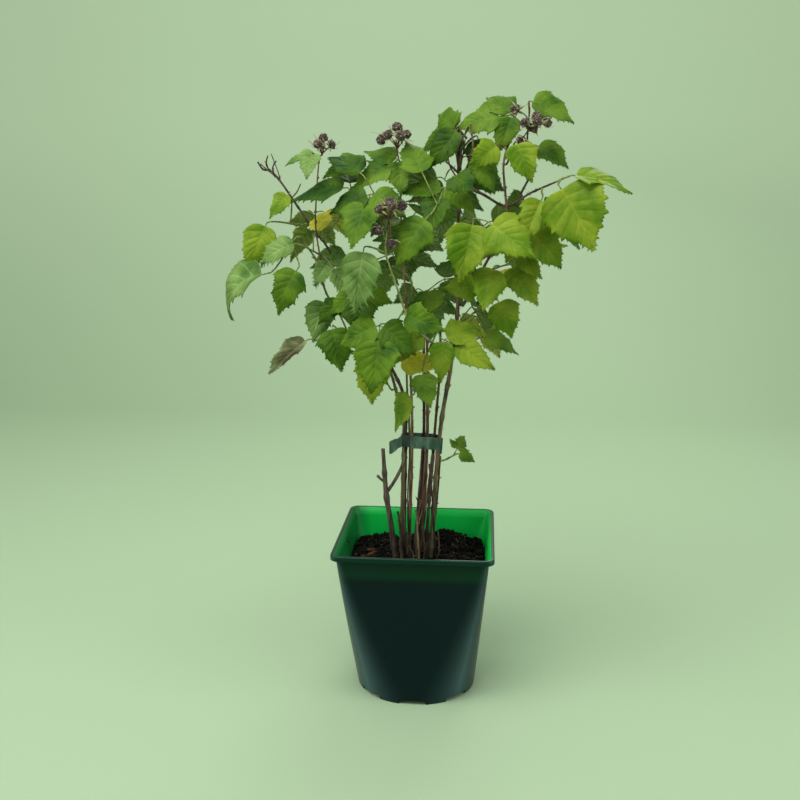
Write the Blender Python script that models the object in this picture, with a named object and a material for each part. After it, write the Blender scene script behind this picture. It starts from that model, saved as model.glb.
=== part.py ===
"""Raspberry cane in a square plastic pot, 0.60 m tall, one solid for each sub-part.

Metres, Z up, the front of the plant towards -Y. The origin is the middle of the pot's underside.
Sizes below are whole millimetres and degrees, turned into metres and radians where they are used.
"""
import math
import random
from collections import namedtuple

import bpy
from mathutils import Matrix, Vector
from mathutils.bvhtree import BVHTree

MM = 0.001
GAP = 0.3 * MM
UP = Vector((0, 0, 1))

# Pot: round at the foot, square with rounded corners at the rim
POT_HEIGHT = 163
FOOT_RADIUS = 62
BODY_HALF = 75
BODY_TOP = 157
BODY_CORNER = 8
RIM_HALF = 80
RIM_CORNER = 10
RIM_UNDERCUT = 0.6
LIP_ROUND = 1.3
LIP_WIDTH = 3.4
WALL = 1.5
CORNER_STEPS = 6
ROUND = 0.97
FLOOR_LOW = 4.6
FLOOR_HIGH = 6.1
PAD_RADIUS = 12
NOTCHES = 8
NOTCH_WIDTH = 27
NOTCH_HEIGHT = 4.4
DRAIN_HOLES = 4
DRAIN_RADIUS = 5
DRAIN_AT = 38
CLIP_WIDTH = 10
CLIP_HIGH = 4
CLIP_HEIGHT = 147

# Compost
SOIL_EDGE = 131
SOIL_TOP = 136
SOIL_PLATEAU = 42
SOIL_SHOULDER = 62
SOIL_SHOULDER_CORNER = 40
SOIL_SHOULDER_DROP = 1.5

# Stems: radii in mm at the foot and at the tip
FLARE = 1.25
FLARE_HEIGHT = 9
CANE_SIDES = 7
CANE_STEP = 45
BOUGH_SIDES = 5
BOUGH_STEP = 25
TWIG_SIDES = 3
TWIG_STEP = 22
TWIG_FOOT = 1.15
SIDE_TWIG_FOOT = 0.95
TWIG_TIP = 0.85
LIMB_GUARD = 0.5

# Leaves: shares of a blade's length, or of its half width
BLADE_WIDTH = 0.72
BLADE_EDGE = ((0.18, 0.84), (0.55, 0.86))
BLADE_RIB = 0.42
BLADE_THICK = 1.1
BLADE_DROOP = (14, 42)
BLADE_FOLD = (6, 18)
SIDE_BLADE = 0.84
SIDE_ANGLE = 64
END_STALK = 0.26
LONE_STALK = 0.05
STALK_RADIUS = 0.75
STALK_GUARD = 0.7
STALK_SUNK = 0.2
GUARD = 1.4
TRIES = 10
STRAY = 3

# Fruit: a bead on a thin stalk
BERRY_RADIUS = 5.2
BERRY_GUARD = 0.6
BERRY_SIDES = 5
BERRY_REACH = (12, 16)
BERRY_STALK = 0.6
BARE = (0, 0, 0, 0)

# Tape that ties the canes together
TIE_LOW = 254
TIE_HIGH = 265
TIE_THICK = 0.8
TIE_STEPS = 28
TIE_TAIL = 9

# Stems: name, foot and tip radius, then the way points from the soil up
Cane = namedtuple("Cane", "name foot_radius tip_radius route prongs")
CANES = [
    Cane("cane_tan", 2.3, 1.1,
         [(-9, -5, 0), (-5, -5, 259), (-8, -3, 354), (-15, 0, 448), (-17, -8, 524)], []),
    Cane("cane_right", 2.9, 2.0,
         [(14, -8, 0), (23, -8, 267), (34, -10, 343), (40, -10, 409), (39, -10, 538)],
         [(0.96, 1.0, (45, -8, 560)), (0.985, 0.9, (33, -13, 556))]),
    Cane("cane_slim", 1.7, 1.2, [(8, 12, 0), (17, 8, 263), (22, 10, 334), (22, 12, 372)], []),
    Cane("cane_dark", 2.2, 1.5, [(1, 10, 0), (6, 8, 259), (5, 12, 390)], []),
    Cane("cane_inner", 1.9, 1.3, [(4, 0, 0), (10, 0, 261), (9, 0, 384)], []),
    Cane("cane_green", 1.5, 0.9, [(-8, 6, 0), (-8, 5, 255), (-12, 14, 330), (-8, 28, 410)], []),
    Cane("cane_left", 2.3, 1.3,
         [(-15, 13, 0), (-13, 12, 262), (-14, 12, 300), (-31, 15, 339), (-89, 20, 447),
          (-106, 20, 470), (-138, 20, 517), (-150, 20, 530)],
         [(0.97, 0.9, (-158, 18, 535)), (0.96, 0.8, (-148, 22, 545))]),
    Cane("cane_low_left", 1.9, 0.9,
         [(-17, 0, 0), (-14, 1, 262), (-16, 0, 288), (-34, 0, 346), (-70, 0, 382),
          (-90, 0, 407), (-102, 4, 442), (-116, 5, 462)], []),
    Cane("dead_fork", 2.3, 1.1, [(-21, -10, 0), (-27, -11, 180), (-31, -11, 207), (-34, -11, 254)],
         [(0.6, 1.2, (-10, -13, 247)), (0.7, 0.8, (-40, -12, 226))]),
    Cane("stub_pointed", 1.8, 0.7, [(-14, -16, 0), (-15, -16, 160), (-18, -16, 189)], []),
    Cane("stub_pale", 1.2, 0.6, [(4, -25, 0), (2, -25, 180), (0, -25, 195)], [(0.72, 0.5, (7, -25, 194))]),
]

# Boughs: name, the limb that carries it, share of that limb's length, radii, way points after the foot
Bough = namedtuple("Bough", "name on at foot_radius tip_radius route")
BOUGHS = [
    Bough("bough_right", "cane_right", 0.66, 1.5, 0.9,
          [(66, -20, 441), (84, -27, 480), (81, -22, 535), (92, -12, 566)]),
    Bough("bough_long", "cane_right", 0.94, 1.5, 0.9,
          [(62, -14, 506), (85, -15, 495), (106, -28, 507), (128, -43, 517)]),
    Bough("bough_dark", "bough_long", 0.62, 1.1, 0.8,
          [(109, -16, 532), (103, -10, 553), (104, -6, 580)]),
    Bough("bough_front", "cane_right", 0.53, 1.4, 0.8,
          [(20, -26, 362), (-3, -45, 386), (-15, -58, 420), (-24, -63, 448)]),
    Bough("bough_brown", "cane_low_left", 0.88, 0.9, 0.7,
          [(-100, -2, 470), (-99, -5, 500), (-96, -5, 534)]),
]

# Sprays of foliage, in mm and degrees. turn is the heading of the end leaf's midrib within its blade,
# from level to the right round to upslope. tilt is the slope of that blade and face is where it looks.
Row = namedtuple("Row", "name on at end turn tilt blade parts leaves tint seed fruit face arch pinch",
                 defaults=(BARE, -90, 0, 0))
SPRAYS = [
    # Top right
    Row("spray_top", "bough_dark", 1, (104, -6, 591), -15, 44, 45, 1, 1, "fresh", 11),
    Row("spray_top_back", "bough_dark", 0.62, (112, 18, 552), -32, 40, 38, 1, 1, "fresh", 12),
    Row("spray_top_fruit", "bough_right", 1, (88, -14, 578), -174, 56, 44, 3, 1, "fresh", 13,
        (5, 21, -14, -17)),
    Row("spray_top_hang", "bough_right", 0.8, (92, -34, 553), -72, 68, 38, 1, 2, "yellow_green", 14),
    Row("spray_crown", "cane_right", 0.97, (38, -14, 566), -124, 68, 44, 1, 3, "dark", 15),
    Row("spray_crown_right", "cane_right", 1, (56, 8, 560), -78, 66, 42, 1, 2, "dark", 16),
    # Right
    Row("spray_right", "bough_long", 1, (142, -48, 523), -14, 22, 54, 1, 1, "yellow_green", 21),
    Row("twig_right_hang", "spray_right", 0.3, (130, -56, 514), -58, 68, 64, 1, 1, "yellow_green", 22),
    Row("spray_right_inner", "bough_long", 0.86, (116, -50, 503), -112, 64, 44, 1, 1, "yellow_green", 24),
    Row("spray_right_low", "bough_right", 0.5, (98, -42, 478), -42, 62, 44, 3, 2, "yellow_green", 23),
    # Right of the middle
    Row("spray_mid_right", "bough_right", 0.25, (90, -30, 441), -60, 62, 44, 1, 2, "yellow_green", 31),
    Row("twig_mid_inner", "spray_mid_right", 0.6, (74, -40, 440), -108, 60, 42, 1, 1, "yellow_green", 32),
    Row("spray_mid_low", "cane_right", 0.62, (78, -22, 407), -64, 62, 38, 1, 3, "yellow_green", 33),
    Row("spray_low_right", "cane_right", 0.55, (64, -20, 371), -16, 50, 38, 1, 2, "fresh", 34),
    Row("spray_front_right", "cane_right", 0.86, (54, -48, 482), -100, 66, 55, 1, 2, "yellow_green", 35),
    Row("spray_front_low", "cane_slim", 1, (28, -36, 370), -28, 58, 46, 3, 2, "yellow_green", 36),
    Row("twig_below", "spray_front_low", 0.6, (8, -46, 340), -80, 62, 34, 1, 2, "fresh", 49),
    # Middle
    Row("spray_arch", "cane_right", 0.93, (26, -26, 512), -106, 46, 46, 3, 3, "dark", 41),
    Row("twig_middle", "spray_arch", 0.7, (12, -54, 486), -125, 64, 52, 1, 2, "dark", 42),
    Row("spray_left_long", "cane_left", 0.8, (-64, -34, 512), 176, 32, 58, 1, 4, "dark", 65),
    Row("spray_round", "cane_tan", 0.9, (-42, -40, 506), -112, 60, 48, 3, 3, "dark", 43),
    Row("spray_front_fruit", "bough_front", 1, (-24, -60, 476), 75, 50, 30, 1, 1, "pale", 45, (6, 2, -6, 10)),
    Row("twig_hero", "spray_front_fruit", 0.2, (-46, -58, 458), -98, 72, 60, 1, 1, "pale", 44),
    Row("spray_inner_left", "cane_low_left", 0.72, (-58, -22, 414), -80, 60, 40, 3, 2, "dark", 46),
    Row("spray_low_middle", "bough_front", 0.46, (-32, -56, 386), -92, 66, 52, 3, 3, "dark", 47),
    Row("spray_cross", "cane_inner", 1, (28, -18, 404), 172, 40, 38, 1, 2, "dark", 48),
    Row("spray_pale_low", "cane_tan", 0.46, (-2, -40, 316), -122, 70, 46, 1, 1, "pale", 50, face=-135),
    Row("spray_low_left", "cane_low_left", 0.5, (-42, -18, 346), -95, 62, 42, 1, 2, "yellow_green", 51),
    Row("spray_top_middle", "cane_tan", 1, (-18, -14, 538), -140, 56, 42, 3, 2, "fresh", 53, (6, -2, 0, 14)),
    Row("twig_left_bright", "spray_top_middle", 0.4, (-54, -2, 538), -155, 45, 40, 1, 1, "fresh", 66),
    # Left
    Row("spray_left_edge", "cane_left", 0.85, (-150, 2, 478), -110, 66, 48, 1, 1, "yellow_green", 61),
    Row("twig_left_top", "spray_left_edge", 0.4, (-128, 8, 506), -130, 55, 30, 1, 1, "yellow_green", 64),
    Row("spray_far_left", "cane_low_left", 1, (-147, -16, 430), -166, 26, 72, 1, 1, "pale", 62,
        arch=66, pinch=14),
    Row("twig_left_dark", "spray_far_left", 0.3, (-115, -22, 436), -118, 62, 48, 1, 1, "dark", 63),
    Row("spray_left_middle", "cane_left", 0.75, (-118, -12, 459), -160, 50, 40, 1, 3, "pale", 67),
    Row("spray_left_low", "cane_low_left", 0.58, (-82, -24, 380), -75, 62, 44, 1, 2, "dark", 70),
    Row("twig_left_hang", "spray_left_low", 0.5, (-90, -10, 404), -112, 66, 42, 1, 1, "pale", 68),
    Row("spray_withered", "cane_low_left", 0.62, (-107, -18, 366), -138, 52, 50, 1, 1, "withered", 69,
        arch=12, pinch=32),
    Row("spray_left_fruit", "bough_brown", 1, (-98, -5, 541), 176, 26, 32, 1, 2, "pale", 71, (4, 7, -4, 3)),
    # Back
    Row("spray_back_top", "cane_right", 0.9, (26, 44, 512), -80, 58, 48, 3, 3, "dark", 91, face=90),
    Row("spray_back_right", "cane_right", 0.78, (84, 76, 468), -110, 58, 48, 3, 3, "fresh", 92, face=60),
    Row("spray_back_far_right", "bough_long", 0.55, (122, 36, 492), -130, 56, 44, 3, 2, "fresh", 93, face=50),
    Row("spray_back_middle", "cane_tan", 0.8, (-14, 84, 468), -90, 60, 48, 3, 3, "dark", 94, face=95),
    Row("spray_back_left", "cane_left", 0.7, (-54, 96, 432), -70, 58, 46, 3, 3, "dark", 95, face=110),
    Row("spray_back_far_left", "cane_left", 0.88, (-112, 68, 478), -60, 56, 42, 3, 2, "yellow_green", 96,
        face=120),
    Row("spray_back_low", "cane_dark", 1, (6, 74, 396), -90, 60, 44, 3, 3, "dark", 97, face=85),
    Row("spray_back_low_right", "cane_slim", 0.9, (56, 66, 380), -110, 58, 42, 3, 2, "fresh", 98, face=60),
    Row("spray_back_green", "cane_green", 1, (-36, 76, 430), -60, 60, 42, 3, 2, "fresh", 99, face=100),
    # Low sprig at the tie
    Row("sprig_low", "cane_right", 0.265, (42, -16, 252), -18, 50, 18, 1, 2, "fresh", 81),
]

COLOURS = {
    "pot": (11, 62, 42),
    "soil": (30, 26, 20),
    "tie": (52, 74, 62),
    "cane_tan": (128, 108, 78),
    "cane_right": (104, 92, 64),
    "cane_slim": (78, 60, 44),
    "cane_dark": (60, 48, 38),
    "cane_inner": (88, 70, 52),
    "cane_green": (96, 112, 60),
    "cane_left": (88, 76, 52),
    "cane_low_left": (104, 110, 66),
    "dead_fork": (72, 56, 44),
    "stub_pointed": (84, 66, 50),
    "stub_pale": (150, 134, 96),
    "bough_right": (74, 50, 36),
    "bough_long": (70, 46, 34),
    "bough_dark": (58, 36, 30),
    "bough_front": (128, 150, 84),
    "bough_brown": (112, 84, 56),
    "fresh": (104, 140, 52),
    "yellow_green": (128, 150, 54),
    "dark": (84, 116, 42),
    "pale": (112, 142, 84),
    "withered": (112, 100, 70),
}
ROUGHNESS = {"pot": 0.35, "soil": 0.95, "tie": 0.45}


def clear_scene():
    for thing in list(bpy.data.objects):
        bpy.data.objects.remove(thing, do_unlink=True)


def linear(channel):
    """One sRGB channel, 0 to 255, as the linear value that a shader takes."""
    value = channel / 255
    return value / 12.92 if value <= 0.04045 else ((value + 0.055) / 1.055) ** 2.4


def material(name, colour):
    """A Principled material of the part's own."""
    made = bpy.data.materials.new(name)
    made.use_nodes = True
    shader = made.node_tree.nodes["Principled BSDF"]
    shader.inputs["Base Color"].default_value = (*[linear(c) for c in COLOURS[colour]], 1)
    shader.inputs["Roughness"].default_value = ROUGHNESS.get(colour, 0.6)
    shader.inputs["Metallic"].default_value = 0
    return made


def solid(name, shape):
    """A mesh object from a (points, faces) pair."""
    mesh = bpy.data.meshes.new(name)
    mesh.from_pydata([tuple(p) for p in shape[0]], [], shape[1])
    mesh.update()
    made = bpy.data.objects.new(name, mesh)
    bpy.context.scene.collection.objects.link(made)
    return made


def finish(thing, colour):
    thing.data.materials.clear()
    thing.data.materials.append(material(thing.name + "_material", colour))
    thing.data.shade_smooth()
    thing.data.set_sharp_from_angle(angle=math.radians(40))


def apply_boolean(target, others, operation, solver):
    """Cuts the others out of the target, or joins them to it, and removes them."""
    group = bpy.data.collections.new(target.name + "_pieces")
    bpy.context.scene.collection.children.link(group)
    for other in others:
        bpy.context.scene.collection.objects.unlink(other)
        group.objects.link(other)
    cut = target.modifiers.new("join", "BOOLEAN")
    cut.operation = operation
    cut.solver = solver
    cut.operand_type = "COLLECTION"
    cut.collection = group
    graph = bpy.context.evaluated_depsgraph_get()
    joined = bpy.data.meshes.new_from_object(target.evaluated_get(graph))
    target.modifiers.clear()
    target.data = joined
    for other in others:
        bpy.data.objects.remove(other, do_unlink=True)
    bpy.data.collections.remove(group)


def fuse(name, shapes, colour):
    """One solid from several closed shapes that run into each other."""
    pieces = [solid(f"{name}_{i}", shape) for i, shape in enumerate(shapes)]
    pieces[0].name = name
    if pieces[1:]:
        apply_boolean(pieces[0], pieces[1:], "UNION", "MANIFOLD")
    finish(pieces[0], colour)
    return pieces[0]


# Rings and tubes

def bridge(rings):
    """A closed shape from level rings of equally many points, in order, capped at both ends."""
    count = len(rings[0])
    points = [p for ring in rings for p in ring]
    faces = [tuple(reversed(range(count)))]
    for low in range(0, count * (len(rings) - 1), count):
        for i in range(count):
            after = (i + 1) % count
            faces.append((low + i, low + after, low + count + after, low + count + i))
    faces.append(tuple(range(len(points) - count, len(points))))
    return points, faces


def tube(path, radii, sides, foot_normal=None):
    """A tapering tube with a ring at each point of the path. The foot may lie in a plane of its own."""
    side = Vector((0.31, 0.83, 0.47))
    rings = []
    for i, (point, radius) in enumerate(zip(path, radii)):
        along = path[min(i + 1, len(path) - 1)] - path[max(i - 1, 0)]
        if i == 0 and foot_normal:
            along = foot_normal
        along = along.normalized()
        side = (side - along * side.dot(along)).normalized()
        other = along.cross(side)
        turns = [2 * math.pi * k / sides for k in range(sides)]
        rings.append([point + (side * math.cos(a) + other * math.sin(a)) * radius for a in turns])
    return bridge(rings)


def smooth_path(route, spacing):
    """Points spaced along a smooth curve through the route."""
    ends = [route[0] * 2 - route[1], *route, route[-1] * 2 - route[-2]]
    path = [route[0]]
    for a, b, c, d in zip(ends, ends[1:], ends[2:], ends[3:]):
        steps = max(1, round((c - b).length / spacing))
        for step in range(1, steps + 1):
            t = step / steps
            path.append((b * 2 + (c - a) * t + (a * 2 - b * 5 + c * 4 - d) * t ** 2
                         + (b * 3 - a - c * 3 + d) * t ** 3) / 2)
    return path


def lengths_along(path):
    total = [0]
    for a, b in zip(path, path[1:]):
        total.append(total[-1] + (b - a).length)
    return total


def taper(path, foot_radius, tip_radius, flare=1.0):
    """A radius for each point of the path, falling evenly, with a flare at the foot."""
    total = lengths_along(path)
    radii = []
    for distance in total:
        radius = foot_radius + (tip_radius - foot_radius) * distance / total[-1]
        swell = (flare - 1) * max(0, 1 - distance / (FLARE_HEIGHT * MM))
        radii.append(radius * (1 + swell))
    return radii


def millimetres(points):
    return [Vector(p) * MM for p in points]


# A limb is a path with a radius at each of its points
Limb = namedtuple("Limb", "path radii")


def place_on(limb, share):
    """(point, direction, radius) at this share of the limb's length."""
    total = lengths_along(limb.path)
    want = share * total[-1]
    for i in range(1, len(total)):
        if total[i] >= want - 1e-9:
            break
    t = (want - total[i - 1]) / (total[i] - total[i - 1])
    point = limb.path[i - 1].lerp(limb.path[i], t)
    direction = (limb.path[i] - limb.path[i - 1]).normalized()
    return point, direction, limb.radii[i - 1] + (limb.radii[i] - limb.radii[i - 1]) * t


def foot_on(limb, share, target, sunk=False):
    """Foot point and outward normal of a shoot that leaves the limb towards the target."""
    point, direction, radius = place_on(limb, share)
    if sunk:
        return point, (target - point).normalized()
    if share >= 1:
        return point + direction * GAP, direction
    out = target - point
    out = (out - direction * out.dot(direction)).normalized()
    return point + out * (radius + GAP), out


def prong_shapes(limb, prongs, sides):
    """Short side spurs, each sunk in its limb."""
    shapes = []
    for share, radius, tip in prongs:
        point, direction, _ = place_on(limb, share)
        end = Vector(tip) * MM
        middle = point.lerp(end, 0.5) - direction * 0.06 * (end - point).length
        path = [point, middle, end]
        shapes.append(tube(path, [radius * MM, radius * MM, radius * 0.85 * MM], sides))
    return shapes


def grow_canes():
    """The stems that stand in the compost, from a flat cut at soil level."""
    limbs = {}
    for cane in CANES:
        ground = SOIL_TOP * MM + GAP
        route = millimetres(cane.route)
        route[0].z = ground
        path = smooth_path(route, CANE_STEP * MM)
        path.insert(1, path[0].lerp(path[1], FLARE_HEIGHT * MM / (path[1] - path[0]).length))
        radii = taper(path, cane.foot_radius * MM, cane.tip_radius * MM, FLARE)
        limb = Limb(path, radii)
        shapes = [tube(path, radii, CANE_SIDES, UP)]
        shapes += prong_shapes(limb, cane.prongs, BOUGH_SIDES)
        fuse(cane.name, shapes, cane.name)
        limbs[cane.name] = limb
    return limbs


def grow_boughs(limbs):
    """Each bough is one tapering limb that starts a hair clear of what carries it."""
    for bough in BOUGHS:
        route = millimetres(bough.route)
        foot, out = foot_on(limbs[bough.on], bough.at, route[0])
        start = foot + out * 2.5 * bough.foot_radius * MM
        path = [foot] + smooth_path([start] + route, BOUGH_STEP * MM)
        radii = taper(path, bough.foot_radius * MM, bough.tip_radius * MM)
        limbs[bough.name] = Limb(path, radii)
        fuse(bough.name, [tube(path, radii, BOUGH_SIDES, out)], bough.name)


# Leaves

Blade = namedtuple("Blade", "base heading face length droop fold")
Leaf = namedtuple("Leaf", "stalk blades")
Spray = namedtuple("Spray", "row draw stem out leaves fruit trees")


def on_blade(blade, along, across, lift):
    """The point of the drooping, folded blade that lies this far along, across and above it when flat."""
    angle = blade.droop * along / blade.length
    reach = blade.length / blade.droop
    rib = blade.base + blade.heading * reach * math.sin(angle) - blade.face * reach * (1 - math.cos(angle))
    normal = blade.face * math.cos(angle) + blade.heading * math.sin(angle)
    side = blade.face.cross(blade.heading)
    return rib + side * across * math.cos(blade.fold) + normal * (lift + abs(across) * math.sin(blade.fold))


def blade_shape(blade, thick, spread=0.0):
    """A closed lens on the blade's outline, thickest at its midrib."""
    half = blade.length * BLADE_WIDTH / 2
    edge = [(share * blade.length, width * half + spread) for share, width in BLADE_EDGE]
    outline = [(-spread, 0)] + [(along, -across) for along, across in edge]
    outline += [(blade.length + spread, 0)] + [(along, across) for along, across in reversed(edge)]
    points = [on_blade(blade, along, across, 0) for along, across in outline]
    count = len(points)
    points += [on_blade(blade, BLADE_RIB * blade.length, 0, lift) for lift in (thick / 2, -thick / 2)]
    top = [(i, (i + 1) % count, count) for i in range(count)]
    low = [((i + 1) % count, i, count + 1) for i in range(count)]
    return points, top + low


def berry_shape(centre, axis, radius):
    """A small closed bead about an axis."""
    side = axis.orthogonal().normalized()
    other = axis.cross(side)
    rings = []
    for height, width in ((-0.8, 0.45), (-0.1, 1.0), (0.75, 0.5)):
        turns = [2 * math.pi * k / BERRY_SIDES for k in range(BERRY_SIDES)]
        middle = centre + axis * height * radius
        rings.append([middle + (side * math.cos(a) + other * math.sin(a)) * radius * width for a in turns])
    return bridge(rings)


def blade_frame(turn, tilt, face):
    """(heading, face) vectors of a blade from its three angles in degrees."""
    turn, tilt, face = (math.radians(angle) for angle in (turn, tilt, face))
    normal = Vector((math.cos(face) * math.sin(tilt), math.sin(face) * math.sin(tilt), math.cos(tilt)))
    level = Vector((-math.sin(face), math.cos(face), 0))
    upslope = normal.cross(level)
    return level * math.cos(turn) + upslope * math.sin(turn), normal


def bent_path(start, leaving, end, arriving, steps):
    """A curve from start to end with the direction at each given."""
    pull = (end - start).length * 0.38
    handles = [start, start + leaving * pull, end - arriving * pull, end]
    path = []
    for step in range(steps + 1):
        t = step / steps
        parts = handles
        while len(parts) > 1:
            parts = [a.lerp(b, t) for a, b in zip(parts, parts[1:])]
        path.append(parts[0])
    return path


def leaf_blades(draw, row, node, heading, face, length, parts):
    """The end leaflet, or the end leaflet and one pair or more at its foot."""
    droop = math.radians(draw.uniform(*BLADE_DROOP) + row.arch)
    fold = math.radians(draw.uniform(*BLADE_FOLD) + row.pinch)
    stalk = END_STALK * length if parts > 1 else LONE_STALK * length
    blades = [Blade(node + heading * stalk, heading, face, length, droop, fold)]
    if parts > 1:
        for sign in (-1, 1):
            angle = math.radians(SIDE_ANGLE + draw.uniform(-8, 10))
            turned = Matrix.Rotation(sign * angle, 3, face) @ heading
            size = length * SIDE_BLADE * draw.uniform(0.9, 1.05)
            blades.append(Blade(node + turned * 0.06 * size, turned, face, size, droop, fold))
    return blades


def leaf_guard(leaf, with_stalk=True):
    """A slightly fattened copy of the leaf, as a search tree."""
    shapes = [blade_shape(blade, 2 * GUARD * MM, GUARD * MM) for blade in leaf.blades]
    if with_stalk and leaf.stalk:
        shapes.append(tube(leaf.stalk, [(STALK_RADIUS + STALK_GUARD) * MM] * len(leaf.stalk), TWIG_SIDES))
    return search_tree(shapes)


def search_tree(shapes):
    points = []
    faces = []
    for shape in shapes:
        first = len(points)
        points += shape[0]
        faces += [tuple(first + i for i in face) for face in shape[1]]
    return BVHTree.FromPolygons(points, faces)


def limb_guard(limb, sides):
    """A slightly fattened copy of the limb, as a search tree."""
    return search_tree([tube(limb.path, [radius + LIMB_GUARD * MM for radius in limb.radii], sides)])


def touches(tree, others):
    return any(tree.overlap(other) for other in others)


def side_leaf(draw, row, stem, number):
    """A leaf on its own stalk from the side of the stem, on alternate sides."""
    share = 0.35 + 0.5 * (number + draw.random()) / max(1, row.leaves - 1)
    start, direction, _ = place_on(stem, min(share, 0.92))
    side = 1 if (number + row.seed) % 2 else -1
    turn = row.turn + side * draw.uniform(55, 125)
    heading, face = blade_frame(turn, row.tilt + draw.uniform(-18, 12), row.face + draw.uniform(-40, 40))
    length = row.blade * draw.uniform(0.75, 1.0) * MM
    rising = (heading * 0.8 + UP * draw.uniform(0.2, 0.7) + direction * 0.3).normalized()
    node = start + rising * length * draw.uniform(0.4, 0.65)
    parts = 3 if draw.random() < 0.55 else 1
    stalk = bent_path(start, rising, node, heading, 2)
    return Leaf(stalk, leaf_blades(draw, row, node, heading, face, length, parts))


def end_leaf(draw, row, stem, stray):
    """The leaf that carries on from the tip of the stem, up to so many degrees off its own angles."""
    turn = row.turn + draw.uniform(-stray, stray)
    heading, face = blade_frame(turn, row.tilt + draw.uniform(-stray, stray), row.face)
    return Leaf([], leaf_blades(draw, row, stem.path[-1], heading, face, row.blade * MM, row.parts))


def grow_stem(row, limbs, sprays):
    """The stem from its carrier to the node of its end leaf: a limb, or another spray's stem as its twig."""
    end = Vector(row.end) * MM
    carrier = sprays[row.on].stem if row.on in sprays else limbs[row.on]
    foot, out = foot_on(carrier, row.at, end, row.on in sprays)
    heading, _ = blade_frame(row.turn, row.tilt, row.face)
    arriving = (heading + UP * 0.5).normalized()
    start = foot + out * 2.2 * MM
    steps = max(2, round((end - start).length / (TWIG_STEP * MM)))
    path = [foot] + bent_path(start, (out + UP * 0.3).normalized(), end, arriving, steps)
    foot_radius = SIDE_TWIG_FOOT if row.on in sprays else TWIG_FOOT
    return Limb(path, taper(path, foot_radius * MM, TWIG_TIP * MM)), out


def berries(draw, row, stem):
    """(stalk, centre, axis) for each fruit: one on top of the cluster's stalk and a ring round it."""
    count, *offset = row.fruit
    rise = Vector(offset) * MM
    top = stem.path[-1] + rise
    made = []
    for number in range(count):
        around = 2 * math.pi * number / max(1, count - 1) + draw.uniform(-0.2, 0.2)
        lean = draw.uniform(1.0, 1.6) if number else 0.05
        out = Vector((math.cos(around) * lean, math.sin(around) * lean, 1)).normalized()
        centre = top + out * draw.uniform(*BERRY_REACH) * MM
        start = top - rise * 0.07 * number - out * 0.3 * MM
        path = [start, centre] if number else [stem.path[-1].lerp(stem.path[-2], 0.15), top, centre]
        made.append((path, centre, out))
    return made


def grow_spray(row, limbs, sprays, taken):
    """The spray's stem with its fruit and its end leaf, unless that leaf touches what is taken."""
    draw = random.Random(row.seed)
    stem, out = grow_stem(row, limbs, sprays)
    fruit = berries(draw, row, stem)
    spray = Spray(row, draw, stem, out, [], fruit, [])
    shapes = [berry_shape(centre, axis, (BERRY_RADIUS + BERRY_GUARD) * MM) for _, centre, axis in fruit]
    if fruit:
        spray.trees.append(search_tree(shapes))
    for number in range(TRIES):
        leaf = end_leaf(draw, row, stem, STRAY * number)
        if add_leaf(spray, leaf, taken + spray.trees, []):
            break
    spray.trees.append(limb_guard(stem, TWIG_SIDES))
    return spray


def add_leaf(spray, leaf, taken, stems):
    """Keeps the leaf where it clears what is taken, and its blades clear the spray's own stem too."""
    tree = leaf_guard(leaf)
    if touches(tree, taken) or touches(leaf_guard(leaf, with_stalk=False), stems):
        return False
    spray.leaves.append(leaf)
    spray.trees.append(tree)
    return True


def add_side_leaves(spray, taken):
    """The spray's other leaves, each drawn again a few times where it would touch, then skipped."""
    own_stem = spray.trees[-1]
    clear = [tree for tree in taken if tree is not own_stem]
    for number in range(spray.row.leaves - 1):
        for _ in range(TRIES):
            leaf = side_leaf(spray.draw, spray.row, spray.stem, number)
            if add_leaf(spray, leaf, clear, [own_stem]):
                clear.append(spray.trees[-1])
                taken.append(spray.trees[-1])
                break


def spray_shapes(spray):
    """The closed shapes that make up a spray, each sunk in the one that carries it."""
    stem = spray.stem
    shapes = [tube(stem.path, stem.radii, TWIG_SIDES, spray.out)]
    for leaf in spray.leaves:
        if leaf.stalk:
            shapes.append(tube(leaf.stalk, [STALK_RADIUS * MM] * len(leaf.stalk), TWIG_SIDES))
        node = leaf.stalk[-1] if leaf.stalk else stem.path[-1]
        for blade in leaf.blades:
            root = [node - blade.heading * 0.9 * MM, on_blade(blade, STALK_SUNK * blade.length, 0, 0)]
            shapes.append(tube(root, [STALK_RADIUS * 1.08 * MM, 0.5 * MM], TWIG_SIDES))
            shapes.append(blade_shape(blade, BLADE_THICK * MM))
    for path, centre, axis in spray.fruit:
        shapes.append(tube(path, [BERRY_STALK * MM] * len(path), TWIG_SIDES))
        shapes.append(berry_shape(centre, axis, BERRY_RADIUS * MM))
    return shapes


def grow_sprays(limbs, taken):
    """Every stem and end leaf first, then the side leaves in the room that is left."""
    sprays = {}
    for row in SPRAYS:
        spray = grow_spray(row, limbs, sprays, taken)
        sprays[row.name] = spray
        taken += spray.trees
    for spray in sprays.values():
        add_side_leaves(spray, taken)
    for spray in sprays.values():
        if spray.row.on in limbs:
            shapes = spray_shapes(spray)
            for twig in sprays.values():
                if twig.row.on == spray.row.name:
                    shapes += spray_shapes(twig)
            fuse(spray.row.name, shapes, spray.row.tint)


# Pot, compost and tie

def level_ring(half, corner, height):
    """A level ring: four quarter arcs joined by straight sides."""
    ring = []
    for quarter, (sx, sy) in enumerate(((1, 1), (-1, 1), (-1, -1), (1, -1))):
        for step in range(CORNER_STEPS + 1):
            angle = math.radians(90 * (quarter + step / CORNER_STEPS))
            x = sx * (half - corner) + corner * math.cos(angle)
            y = sy * (half - corner) + corner * math.sin(angle)
            ring.append(Vector((x, y, height)) * MM)
    return ring


def round_ring(radius, height):
    return level_ring(radius, radius * ROUND, height)


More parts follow.
